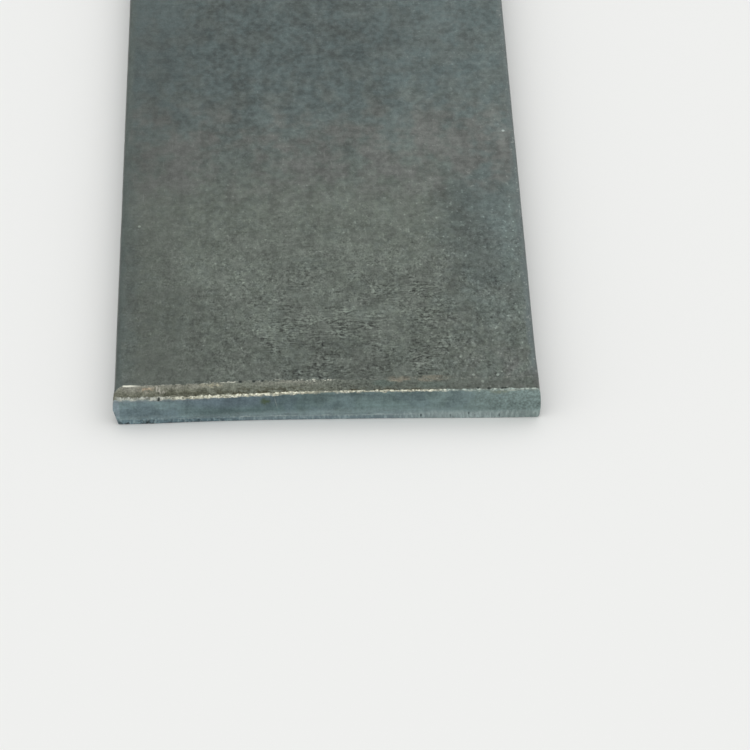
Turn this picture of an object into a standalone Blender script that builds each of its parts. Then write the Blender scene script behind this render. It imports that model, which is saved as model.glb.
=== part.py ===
"""A length of hot-rolled stainless steel flat bar, pickled, sheared at one end and sawn at the other.

Metres, +Z up. The bar lies flat along Y, with the sheared end at -Y. The origin is the centre of its
footprint on the floor.
"""

from math import atan2, cos, pi, radians, sin, sqrt

import bmesh
import bpy
from mathutils import Matrix, Vector

OBJECT_NAME = "stainless_flat_bar"
BAR_NAME = "flat_bar"

# The rolled section
WIDTH = 0.060
THICKNESS = 0.005
LENGTH = 0.500
CORNER_RADIUS = 0.0004
EDGE_BULGE = 0.00022

# The sheared end: its upper edge is pulled down where the blade entered, first at full depth from
# the -X side, then fading, then shallow up to the +X side
ROLL_OVER_LENGTH = 0.0022
ROLL_OVER_DROP_DEEP = 0.00075
ROLL_OVER_DROP_SHALLOW = 0.00006
ROLL_OVER_DEEP_WIDTH = 0.011
ROLL_OVER_FADE_WIDTH = 0.018
ROLL_OVER_CREASE_SHARE = 0.4

# The lower band of the cut, where the metal broke away and leans back from the cut face
FRACTURE_HEIGHT = 0.0010
FRACTURE_SETBACK = 0.0003

# The lower -X corner of the sheared end, nipped in by the blade
NIP_WIDTH = 0.00077
NIP_HEIGHT = 0.0026
NIP_LENGTH = 0.0040

# How finely the round stretches are divided
CORNER_STEPS = 5
SIDE_STEPS = 6
ROLL_OVER_STEPS = 8
FADE_STEPS = 8

# How far a cutter reaches past the bar, how near two points are to be one, and how flat two faces
# that meet are to be one
OVERLAP = 0.001
WELD_DISTANCE = 1e-6
FLAT_ANGLE = radians(0.05)

STEEL_COLOUR = (0.15, 0.165, 0.15, 1.0)
STEEL_ROUGHNESS = 0.5
STEEL_METALLIC = 0.9


def clear_scene():
    """Remove every object of the scene."""
    for obj in list(bpy.data.objects):
        bpy.data.objects.remove(obj, do_unlink=True)


def new_collection(name):
    """Return a new collection linked to the scene."""
    collection = bpy.data.collections.new(name)
    bpy.context.scene.collection.children.link(collection)
    return collection


def steel_material():
    """Return the pickled steel's material."""
    material = bpy.data.materials.new("pickled_steel")
    material.use_nodes = True
    shader = material.node_tree.nodes["Principled BSDF"]
    shader.inputs["Base Color"].default_value = STEEL_COLOUR
    shader.inputs["Roughness"].default_value = STEEL_ROUGHNESS
    shader.inputs["Metallic"].default_value = STEEL_METALLIC
    return material


def arc(centre, radius, start, end, steps):
    """Return the points of an arc about a centre, from one angle to another, both included."""
    angles = [start + (end - start) * step / steps for step in range(steps + 1)]
    return [(centre[0] + radius * cos(a), centre[1] + radius * sin(a)) for a in angles]


def section_outline():
    """Return the bar's section, counterclockwise, with (0, 0) at the middle of its thickness.

    Each narrow side is one shallow arc, and a corner arc touches it and the broad face.
    """
    half_width = WIDTH / 2
    half_thickness = THICKNESS / 2
    side_radius = (half_thickness**2 + EDGE_BULGE**2) / (2 * EDGE_BULGE)
    side_centre = half_width - side_radius
    corner_height = half_thickness - CORNER_RADIUS
    corner_reach = sqrt((side_radius - CORNER_RADIUS) ** 2 - corner_height**2)
    corner_centre = side_centre + corner_reach
    turn = atan2(corner_height, corner_reach)

    lower = arc((corner_centre, -corner_height), CORNER_RADIUS, -pi / 2, -turn, CORNER_STEPS)
    side = arc((side_centre, 0.0), side_radius, -turn, turn, SIDE_STEPS)
    upper = arc((corner_centre, corner_height), CORNER_RADIUS, turn, pi / 2, CORNER_STEPS)
    right = lower + side[1:-1] + upper
    left = [(-x, z) for x, z in reversed(right)]
    return right + left


def roll_over_outline():
    """Return the outline, as (y, z), of what the roll-over takes off the top of the sheared end.

    The arc leaves the top face in a slight crease at the roll-over's length, and steepens until it
    has its full drop at the cut. The crease takes its share of the slope from end to end.
    """
    end = -LENGTH / 2
    mean_slope = atan2(ROLL_OVER_DROP_DEEP, ROLL_OVER_LENGTH)
    crease = ROLL_OVER_CREASE_SHARE * mean_slope
    steepest = 2 * mean_slope - crease
    radius = ROLL_OVER_LENGTH / (sin(steepest) - sin(crease))
    centre = (end + radius * sin(steepest), THICKNESS - radius * cos(crease))
    curve = arc(centre, radius, pi / 2 + crease, pi / 2 + steepest, ROLL_OVER_STEPS)
    outer = end - OVERLAP
    above = THICKNESS + OVERLAP
    first_fall = (curve[0][1] - curve[1][1]) / (curve[0][0] - curve[1][0])
    run_out = curve[0][0] + OVERLAP / first_fall
    return [(run_out, above)] + curve[1:] + [(outer, curve[-1][1]), (outer, above)]


def fracture_outline():
    """Return the outline, as (y, z), of the wedge that leans the lower band of the cut back."""
    end = -LENGTH / 2
    slope = FRACTURE_SETBACK / FRACTURE_HEIGHT
    lowest = -OVERLAP
    outer = end - OVERLAP
    return [
        (end, FRACTURE_HEIGHT),
        (outer, FRACTURE_HEIGHT),
        (outer, lowest),
        (end + slope * (FRACTURE_HEIGHT - lowest), lowest),
    ]


def outline_curve(name, points, depth):
    """Return a filled 2D curve object, as deep as given, centred on the outline's own plane."""
    curve = bpy.data.curves.new(name, "CURVE")
    curve.dimensions = "2D"
    curve.fill_mode = "BOTH"
    curve.extrude = depth / 2
    spline = curve.splines.new("POLY")
    spline.points.add(len(points) - 1)
    for point, (u, v) in zip(spline.points, points):
        point.co = (u, v, 0.0, 1.0)
    spline.use_cyclic_u = True
    return bpy.data.objects.new(name, curve)


def mesh_from_curve(obj, collection):
    """Replace a curve object by a closed mesh object of the same name and place, and return it."""
    collection.objects.link(obj)
    bpy.context.view_layer.update()
    evaluated = obj.evaluated_get(bpy.context.evaluated_depsgraph_get())
    mesh = bpy.data.meshes.new_from_object(evaluated)
    name = obj.name
    matrix = obj.matrix_world.copy()
    bpy.data.objects.remove(obj, do_unlink=True)

    body = bmesh.new()
    body.from_mesh(mesh)
    bmesh.ops.remove_doubles(body, verts=body.verts, dist=WELD_DISTANCE)
    bmesh.ops.dissolve_limit(body, angle_limit=FLAT_ANGLE, verts=body.verts, edges=body.edges)
    bmesh.ops.recalc_face_normals(body, faces=body.faces)
    body.to_mesh(mesh)
    body.free()

    solid = bpy.data.objects.new(name, mesh)
    solid.matrix_world = matrix
    collection.objects.link(solid)
    return solid


def rolled_bar(collection):
    """Return the bar as rolled: its section, drawn out along Y, standing on the floor."""
    drawn = outline_curve(BAR_NAME, section_outline(), LENGTH)
    drawn.matrix_world = Matrix.Translation((0.0, 0.0, THICKNESS / 2)) @ Matrix.Rotation(pi / 2, 4, "X")
    return mesh_from_curve(drawn, collection)


def across_bar(name, outline, collection):
    """Return a solid with an outline given as (y, z), drawn out along X past both sides."""
    drawn = outline_curve(name, outline, WIDTH + 2 * OVERLAP)
    drawn.matrix_world = Matrix.Rotation(pi / 2, 4, "Z") @ Matrix.Rotation(pi / 2, 4, "X")
    return mesh_from_curve(drawn, collection)


def roll_over_drop(x):
    """Return how far the cut's upper edge is pulled down at a place across the bar."""
    fade_start = ROLL_OVER_DEEP_WIDTH - WIDTH / 2
    share = min(max((x - fade_start) / ROLL_OVER_FADE_WIDTH, 0.0), 1.0)
    eased = share * share * (3 - 2 * share)
    return ROLL_OVER_DROP_DEEP + (ROLL_OVER_DROP_SHALLOW - ROLL_OVER_DROP_DEEP) * eased


def roll_over_cutter(collection):
    """Return the roll-over's cutter, flattened towards the top face as the drop fades."""
    cutter = across_bar("roll_over_cutter", roll_over_outline(), collection)
    body = bmesh.new()
    body.from_mesh(cutter.data)
    body.transform(cutter.matrix_world)
    cutter.matrix_world = Matrix.Identity(4)

    fade_start = ROLL_OVER_DEEP_WIDTH - WIDTH / 2
    for step in range(FADE_STEPS + 1):
        x = fade_start + ROLL_OVER_FADE_WIDTH * step / FADE_STEPS
        everything = body.verts[:] + body.edges[:] + body.faces[:]
        bmesh.ops.bisect_plane(body, geom=everything, plane_co=(x, 0.0, 0.0), plane_no=(1.0, 0.0, 0.0))
    for vertex in body.verts:
        flatten = roll_over_drop(vertex.co.x) / ROLL_OVER_DROP_DEEP
        vertex.co.z = THICKNESS + (vertex.co.z - THICKNESS) * flatten
    body.to_mesh(cutter.data)
    body.free()
    return cutter


def nip_cutter(collection):
    """Return a block whose one face passes through the three corners of the nip."""
    side = -WIDTH / 2
    end = -LENGTH / 2
    on_side = Vector((side, end, NIP_HEIGHT))
    on_floor = Vector((side + NIP_WIDTH, end, 0.0))
    along_bar = Vector((side, end + NIP_LENGTH, 0.0))
    outward = (along_bar - on_side).cross(on_floor - on_side).normalized()
    if outward.x > 0:
        outward.negate()
    block = 4 * max(NIP_WIDTH, NIP_HEIGHT, NIP_LENGTH)
    centre = (on_side + on_floor + along_bar) / 3 + outward * block / 2

    bpy.ops.mesh.primitive_cube_add(size=block, location=centre)
    cutter = bpy.context.object
    cutter.name = "nip_cutter"
    cutter.rotation_euler = outward.to_track_quat("Z", "Y").to_euler()
    for holder in list(cutter.users_collection):
        holder.objects.unlink(cutter)
    collection.objects.link(cutter)
    return cutter


def cut(bar, cutter):
    """Take a cutter's shape off the bar, and keep the cutter out of the render."""
    cutter.hide_render = True
    cutter.display_type = "WIRE"
    boolean = bar.modifiers.new(cutter.name, "BOOLEAN")
    boolean.operation = "DIFFERENCE"
    boolean.solver = "EXACT"
    boolean.object = cutter


def main():
    """Build the bar."""
    clear_scene()
    parts = new_collection(OBJECT_NAME)
    cutters = new_collection("cutters")

    bar = rolled_bar(parts)
    bar.data.materials.append(steel_material())
    cut(bar, roll_over_cutter(cutters))
    cut(bar, across_bar("fracture_cutter", fracture_outline(), cutters))
    cut(bar, nip_cutter(cutters))


main()
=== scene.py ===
"""The looks of a stainless steel flat bar: hot rolled and pickled, sheared at one end, sawn at the other.

Metres, +Z up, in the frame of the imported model. The bar lies along Y, with the sheared end at -Y.
"""

import logging
from dataclasses import dataclass
from enum import Enum
from math import atan2, hypot, pi, radians, sqrt
from typing import Callable

import bmesh
import bpy
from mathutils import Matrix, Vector, noise

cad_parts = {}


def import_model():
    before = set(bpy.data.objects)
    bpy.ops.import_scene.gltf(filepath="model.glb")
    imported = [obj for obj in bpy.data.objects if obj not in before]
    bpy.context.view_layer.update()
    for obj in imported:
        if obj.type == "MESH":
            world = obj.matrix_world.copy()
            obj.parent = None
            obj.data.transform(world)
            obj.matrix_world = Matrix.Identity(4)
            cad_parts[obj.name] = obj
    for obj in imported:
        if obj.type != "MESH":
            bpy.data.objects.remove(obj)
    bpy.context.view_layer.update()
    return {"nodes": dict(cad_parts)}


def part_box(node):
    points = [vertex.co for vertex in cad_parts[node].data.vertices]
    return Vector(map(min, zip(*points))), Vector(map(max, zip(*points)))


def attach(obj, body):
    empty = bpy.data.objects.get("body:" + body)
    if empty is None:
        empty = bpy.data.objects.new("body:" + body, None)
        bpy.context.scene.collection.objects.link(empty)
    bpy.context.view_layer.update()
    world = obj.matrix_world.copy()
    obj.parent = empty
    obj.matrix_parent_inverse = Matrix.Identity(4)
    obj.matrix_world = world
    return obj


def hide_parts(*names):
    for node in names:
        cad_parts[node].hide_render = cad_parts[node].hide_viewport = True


LOG = logging.getLogger("flat_bar")

MM = 0.001

# How near a plane of the plain block a point is on it, and how far past one a test reaches
ON_PLANE = 0.001 * MM
PAST_PLANE = 0.01 * MM

# The mean of Blender's noise, which runs from 0 to 1
NOISE_MEAN = 0.5

SOLID_NODE = "flat_bar"
BODY = "root"

Colour = tuple[float, float, float]
Triple = tuple[float, float, float]
EdgeTest = Callable[[Vector, Vector], bool]

# What a node's input takes: another node's output, or a plain number or colour
Socket = bpy.types.NodeSocket
Term = Socket | float
Tone = Socket | Colour


def eased(value: float, start: float, end: float) -> float:
    """Ease a value from 0 at one place to 1 at another.

    Args:
        value: The place asked for.
        start: Where the result is 0.
        end: Where the result is 1.

    Returns:
        The eased share, between 0 and 1.
    """
    share = min(max((value - start) / (end - start), 0.0), 1.0)
    return share * share * (3 - 2 * share)


def ripple(point: Vector, size: float, stretch: Triple = (1.0, 1.0, 1.0), shift: float = 0.0) -> float:
    """Read a smooth, repeatable unevenness.

    Args:
        point: Where to read it, in metres.
        size: How far apart its humps are, in metres.
        stretch: How much longer the humps are along each axis.
        shift: A number that gives each use its own pattern.

    Returns:
        A height between about -1 and 1.
    """
    place = Vector(point[axis] / (size * stretch[axis]) + shift * (axis + 1) for axis in range(3))
    return noise.noise(place)


@dataclass(frozen=True)
class Wave:
    """A smooth unevenness in a surface: its mean depth, how far apart its humps are, and their stretch."""

    depth: float
    size: float
    stretch: Triple = (1.0, 1.0, 1.0)
    shift: float = 0.0

    def at(self, point: Vector) -> float:
        """Return how deep the surface lies at a point."""
        return self.depth * (1 + ripple(point, self.size, self.stretch, self.shift))


class Side(Enum):
    """The sides that the bar's faces are sorted by."""

    UPPER = "upper"
    LOWER = "lower"
    LEFT = "left"
    RIGHT = "right"
    SHEARED = "sheared"
    SAWN = "sawn"


@dataclass(frozen=True)
class Grain:
    """A noise pattern.

    Its humps are so many millimetres apart, times the stretch along each axis. Detail says how many
    finer copies lie over them, roughness how strong those are, and distortion how much all is bent.
    The shift gives each use its own pattern. Swing is how far from its mean a pattern that sways
    about 0 meets -1 and 1.
    """

    size: float
    stretch: Triple = (1.0, 1.0, 1.0)
    detail: float = 2.0
    roughness: float = 0.5
    distortion: float = 0.0
    shift: float = 0.0
    swing: float = 0.2


@dataclass(frozen=True)
class Spot:
    """A soft-edged spot on a face, by its middle and its reach, across and along the bar or up the cut."""

    across: float
    along: float
    half_width: float
    half_length: float


class Bench:
    """The nodes of one material, added by short calls."""

    def __init__(self, tree: bpy.types.NodeTree) -> None:
        """Keep the tree that the nodes go in.

        Args:
            tree: The material's node tree.
        """
        self.tree = tree

    def add(self, kind: str, **settings: object) -> bpy.types.Node:
        """Add a node.

        Args:
            kind: The node's type name.
            settings: Values for the node's own settings.

        Returns:
            The node.
        """
        node = self.tree.nodes.new(kind)
        for name, value in settings.items():
            setattr(node, name, value)
        return node

    def feed(self, socket: Socket, value: object) -> None:
        """Give a socket a link or a value.

        Args:
            socket: The input that is fed.
            value: An output socket, or a plain value.
        """
        if isinstance(value, Socket):
            self.tree.links.new(value, socket)
        else:
            socket.default_value = value

    def sum(self, operation: str, *terms: Term) -> Socket:
        """Work out a number from others.

        Args:
            operation: The Math node's operation.
            terms: Up to three sockets or numbers.

        Returns:
            The result.
        """
        node = self.add("ShaderNodeMath", operation=operation)
        for socket, term in zip(node.inputs, terms):
            self.feed(socket, term)
        return node.outputs["Value"]

    def product(self, *terms: Term) -> Socket:
        """Multiply any number of sockets or numbers.

        Args:
            terms: Sockets or numbers, at least two.

        Returns:
            Their product.
        """
        result = self.sum("MULTIPLY", terms[0], terms[1])
        for term in terms[2:]:
            result = self.sum("MULTIPLY", result, term)
        return result

    def ramp(
        self,
        value: Term,
        low: Term,
        high: Term,
        first: Term = 0.0,
        last: Term = 1.0,
    ) -> Socket:
        """Ease from one number to another as a value moves, and hold both ends.

        Args:
            value: The socket that is followed.
            low: The value at which the result is the first number.
            high: The value at which the result is the last number; it may be below the low one.
            first: The result at the low value and past it.
            last: The result at the high value and past it.

        Returns:
            The eased number.
        """
        node = self.add("ShaderNodeMapRange", interpolation_type="SMOOTHSTEP")
        for name, term in (
            ("Value", value),
            ("From Min", low),
            ("From Max", high),
            ("To Min", first),
            ("To Max", last),
        ):
            self.feed(node.inputs[name], term)
        return node.outputs["Result"]

    def ridge(self, value: Term, centre: Term, reach: float) -> Socket:
        """Make a ridge that is 1 where a value meets a centre and 0 past a reach.

        Args:
            value: The socket that is followed.
            centre: Where the ridge is highest.
            reach: How far from the centre it ends.

        Returns:
            The ridge's height.
        """
        away = self.sum("ABSOLUTE", self.sum("SUBTRACT", value, centre))
        return self.ramp(away, 0.0, reach, 1.0, 0.0)

    def span(self, value: Term, start: float, end: float, soft: float) -> Socket:
        """Make a plateau that is 1 between two numbers and 0 past them.

        Args:
            value: The socket that is followed.
            start: Where the plateau starts.
            end: Where it ends.
            soft: How wide each of its two slopes is.

        Returns:
            The plateau's height.
        """
        half = (end - start) / 2
        away = self.sum("ABSOLUTE", self.sum("SUBTRACT", value, start + half))
        return self.ramp(away, half - soft / 2, half + soft / 2, 1.0, 0.0)

    def spot(self, across: Term, along: Term, spot: Spot) -> Socket:
        """Make a soft spot that is 1 at its middle and 0 past its reach.

        Args:
            across: The place across the bar, in millimetres.
            along: The place along the bar, or up the cut.
            spot: Where the spot is and how far it reaches.

        Returns:
            The spot's strength.
        """
        first = self.sum("MULTIPLY_ADD", across, 1 / spot.half_width, -spot.across / spot.half_width)
        second = self.sum("MULTIPLY_ADD", along, 1 / spot.half_length, -spot.along / spot.half_length)
        squares = self.sum("MULTIPLY_ADD", first, first, self.sum("MULTIPLY", second, second))
        return self.ramp(squares, 0.0, 1.0, 1.0, 0.0)

    def most(self, *terms: Term) -> Socket:
        """Keep the largest of any number of sockets.

        Args:
            terms: The sockets, at least two.

        Returns:
            The largest.
        """
        result = self.sum("MAXIMUM", terms[0], terms[1])
        for term in terms[2:]:
            result = self.sum("MAXIMUM", result, term)
        return result

    def spots(self, across: Term, along: Term, spots: tuple[Spot, ...]) -> Socket:
        """Make several soft spots at once.

        Args:
            across: The place across the bar, in millimetres.
            along: The place along the bar, or up the cut.
            spots: The spots, at least two.

        Returns:
            The strength of whichever is strongest.
        """
        return self.most(*[self.spot(across, along, spot) for spot in spots])

    def total(self, start: float, *terms: tuple[Term, Term]) -> Socket:
        """Add up products.

        Args:
            start: The number that they are added to.
            terms: Pairs of sockets or numbers, each multiplied with the other.

        Returns:
            The total.
        """
        result = start
        for first, second in terms:
            result = self.sum("MULTIPLY_ADD", first, second, result)
        return result

    def grain(self, place: Socket, grain: Grain) -> Socket:
        """Add a noise pattern of a real size.

        Args:
            place: The coordinates, in metres.
            grain: What the pattern is like.

        Returns:
            The pattern, from 0 to 1 with 0.5 as its mean.
        """
        scaled = self.add("ShaderNodeMapping")
        self.feed(scaled.inputs["Vector"], place)
        self.feed(scaled.inputs["Scale"], tuple(1.0 / (MM * grain.size * share) for share in grain.stretch))
        self.feed(scaled.inputs["Location"], tuple(grain.shift * step for step in (1.0, 2.0, 3.0)))
        pattern = self.add("ShaderNodeTexNoise")
        self.feed(pattern.inputs["Vector"], scaled.outputs["Vector"])
        for name, value in (
            ("Scale", 1.0),
            ("Detail", grain.detail),
            ("Roughness", grain.roughness),
            ("Distortion", grain.distortion),
        ):
            self.feed(pattern.inputs[name], value)
        return pattern.outputs["Fac"]

    def sway(self, place: Socket, grain: Grain) -> Socket:
        """Add a noise pattern about 0, held between -1 and 1.

        Args:
            place: The coordinates, in metres.
            grain: What the pattern is like.

        Returns:
            The pattern.
        """
        low = NOISE_MEAN - grain.swing
        high = NOISE_MEAN + grain.swing
        return self.ramp(self.grain(place, grain), low, high, -1.0, 1.0)

    def mix(self, share: Term, first: Tone, second: Tone) -> Socket:
        """Mix two colours.

        Args:
            share: How much of the second colour shows.
            first: A colour or its socket.
            second: A colour or its socket.

        Returns:
            The mixed colour.
        """
        node = self.add("ShaderNodeMix", data_type="RGBA")
        self.feed(node.inputs["Factor"], share)
        for socket, colour in ((node.inputs[6], first), (node.inputs[7], second)):
            self.feed(socket, (*colour, 1.0) if isinstance(colour, tuple) else colour)
        return node.outputs[2]

    def blend(self, share: Term, first: Term, second: Term) -> Socket:
        """Mix two numbers.

        Args:
            share: How much of the second number shows.
            first: A number or its socket.
            second: A number or its socket.

        Returns:
            The mixed number.
        """
        node = self.add("ShaderNodeMix", data_type="FLOAT")
        for index, value in enumerate((share, None, first, second)):
            if value is not None:
                self.feed(node.inputs[index], value)
        return node.outputs[0]

    def shade(self, colour: Socket, strength: Term) -> Socket:
        """Make a colour lighter or darker.

        Args:
            colour: The colour's socket.
            strength: What it is multiplied by.

        Returns:
            The new colour.
        """
        node = self.add("ShaderNodeHueSaturation")
        self.feed(node.inputs["Color"], colour)
        self.feed(node.inputs["Value"], strength)
        return node.outputs["Color"]


@dataclass(frozen=True)
class ShearedEnd:
    """How the blade left the near end.

    Starts and ends are places across the bar, from its middle, but the flare's are distances from the cut.
    """

    drop_deep: float = 0.78 * MM
    drop_shallow: float = 0.13 * MM
    deep_end: float = -24.5 * MM
    shallow_start: float = 5.0 * MM
    left_length: float = 2.30 * MM
    length: float = 2.85 * MM
    length_start: float = -27.0 * MM
    length_end: float = -5.0 * MM
    corner_start: float = -28.5 * MM
    corner_end: float = -30.0 * MM
    corner_share: float = 0.35
    crease_share: float = 0.35
    fracture_height: float = 1.0 * MM
    border_wave: float = 0.09
    border_size: float = 1.3 * MM
    border_stretch: Triple = (1.0, 1.0, 50.0)
    setback: float = 0.28 * MM
    least_setback: float = 0.18
    torn_start: float = -28.0 * MM
    torn_full: float = -16.0 * MM
    torn_fading: float = 4.0 * MM
    torn_end: float = 27.0 * MM
    step_share: float = 0.25
    step_onset: float = 8.0
    rough_onset: float = 6.0
    smooth: Wave = Wave(0.012 * MM, 5.0 * MM, shift=3.0)
    streaks: Wave = Wave(0.035 * MM, 0.42 * MM, (1.0, 1.0, 6.0), 2.0)
    grit: Wave = Wave(0.020 * MM, 0.3 * MM, shift=9.0)
    pull_reach: float = 1.6 * MM
    rim_reach: float = 0.4 * MM
    rim_drop: float = 0.035 * MM
    rim_pull: float = 0.050 * MM
    rim_change: float = 0.040 * MM
    rim_size: float = 0.55 * MM
    rim_fine_size: float = 0.25 * MM
    rim_fine_share: float = 0.6
    rim_change_size: float = 0.4 * MM
    flare: float = 0.12 * MM
    flare_start_left: float = 0.3 * MM
    flare_end_left: float = 3.6 * MM
    flare_start_right: float = 3.5 * MM
    flare_end_right: float = 10.0 * MM
    slant: float = 0.36 * MM
    slant_start: float = -29.0 * MM
    slant_end: float = -6.0 * MM
    slant_reach: float = 60.0 * MM
    nip_width: float = 0.77 * MM
    nip_height: float = 2.6 * MM
    nip_length: float = 4.0 * MM

    def drop(self, x: float) -> float:
        """Return how far the cut's upper edge is pulled down at a place across the bar."""
        fade = eased(x, self.deep_end, self.shallow_start)
        return self.drop_deep + (self.drop_shallow - self.drop_deep) * fade

    def set_back(self, x: float, along: float) -> float:
        """Work out how far the cut, not quite square to the bar, moves the metal behind it.

        Args:
            x: The place across the bar.
            along: The distance from the cut.

        Returns:
            The move along the bar, in metres.
        """
        at_cut = self.slant * eased(x, self.slant_start, self.slant_end)
        return at_cut * (1 - eased(along, 0.0, self.slant_reach))

    def flared(self, x: float, along: float) -> float:
        """Work out how far a side lies inside the wider end.

        Args:
            x: The place across the bar.
            along: The distance from the cut.

        Returns:
            The distance, in metres.
        """
        if x > 0:
            return self.flare * eased(along, self.flare_start_right, self.flare_end_right)
        return self.flare * eased(along, self.flare_start_left, self.flare_end_left)

    def fall(self, x: float, along: float) -> float:
        """Work out how far the top face is pulled down.

        Args:
            x: The place across the bar.
            along: The distance from the cut.

        Returns:
            The fall, in metres.
        """
        full = eased(x, self.length_start, self.length_end)
        length = self.left_length + (self.length - self.left_length) * full
        length *= 1 - (1 - self.corner_share) * eased(x, self.corner_start, self.corner_end)
        left = max(1.0 - along / length, 0.0)
        return self.drop(x) * (self.crease_share * left + (1 - self.crease_share) * left * left)

    def lean(self, x: float, z: float) -> float:
        """Work out how far the cut lies behind the end's plane.

        Args:
            x: The place across the bar.
            z: The height above the floor.

        Returns:
            The depth, in metres.
        """
        point = Vector((x, 0.0, z))
        smooth = self.smooth.at(point)
        wave = ripple(point, self.border_size, self.border_stretch, 5.0)
        border = self.fracture_height * (1 + self.border_wave * wave)
        below = max(border - z, 0.0) / self.fracture_height
        if below <= 0.0:
            return smooth
        middle = eased(x, self.torn_start, self.torn_full) * (1 - eased(x, self.torn_fading, self.torn_end))
        deepest = self.setback * (self.least_setback + (1 - self.least_setback) * middle)
        step = min(below * self.step_onset, 1.0)
        torn = deepest * (self.step_share * step + (1 - self.step_share) * below)
        onset = min(below * self.rough_onset, 1.0)
        return smooth + torn + self.streaks.at(point) * onset + self.grit.at(point) * onset

    def nip_plane(self, half_width: float) -> tuple[Vector, Vector]:
        """Work out the plane of the nip in the lower left corner, from the end's own plane.

        Args:
            half_width: Half of the bar's width.

        Returns:
            A point of the plane, with its distance from the end as y, and the outward direction.
        """
        on_side = Vector((-half_width, 0.0, self.nip_height))
        on_floor = Vector((-half_width + self.nip_width, 0.0, 0.0))
        along_bar = Vector((-half_width, self.nip_length, 0.0))
        outward = (along_bar - on_side).cross(on_floor - on_side).normalized()
        return on_side, outward if outward.x < 0 else -outward


@dataclass(frozen=True)
class Site:
    """Where on the bar a finish is being painted, as sockets."""

    place: Socket
    across: Socket
    along: Socket
    height: Socket
    rim: Socket
    pit: Socket


@dataclass(frozen=True)
class Coat:
    """What a finish paints: a colour, a roughness, and a relief in millimetres."""

    colour: Socket
    roughness: Term
    relief: Term

    def over(self, bench: Bench, lower: "Coat", share: Socket) -> "Coat":
        """Lay this coat over another.

        Args:
            bench: The material's nodes.
            lower: The coat beneath.
            share: Where this coat shows, from 0 to 1.

        Returns:
            The two as one coat.
        """
        return Coat(
            bench.mix(share, lower.colour, self.colour),
            bench.blend(share, lower.roughness, self.roughness),
            bench.blend(share, lower.relief, self.relief),
        )


@dataclass(frozen=True)
class Stain(Spot):
    """A broad patch of the rolled face that came out lighter or darker than what is round it."""

    change: float


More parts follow.
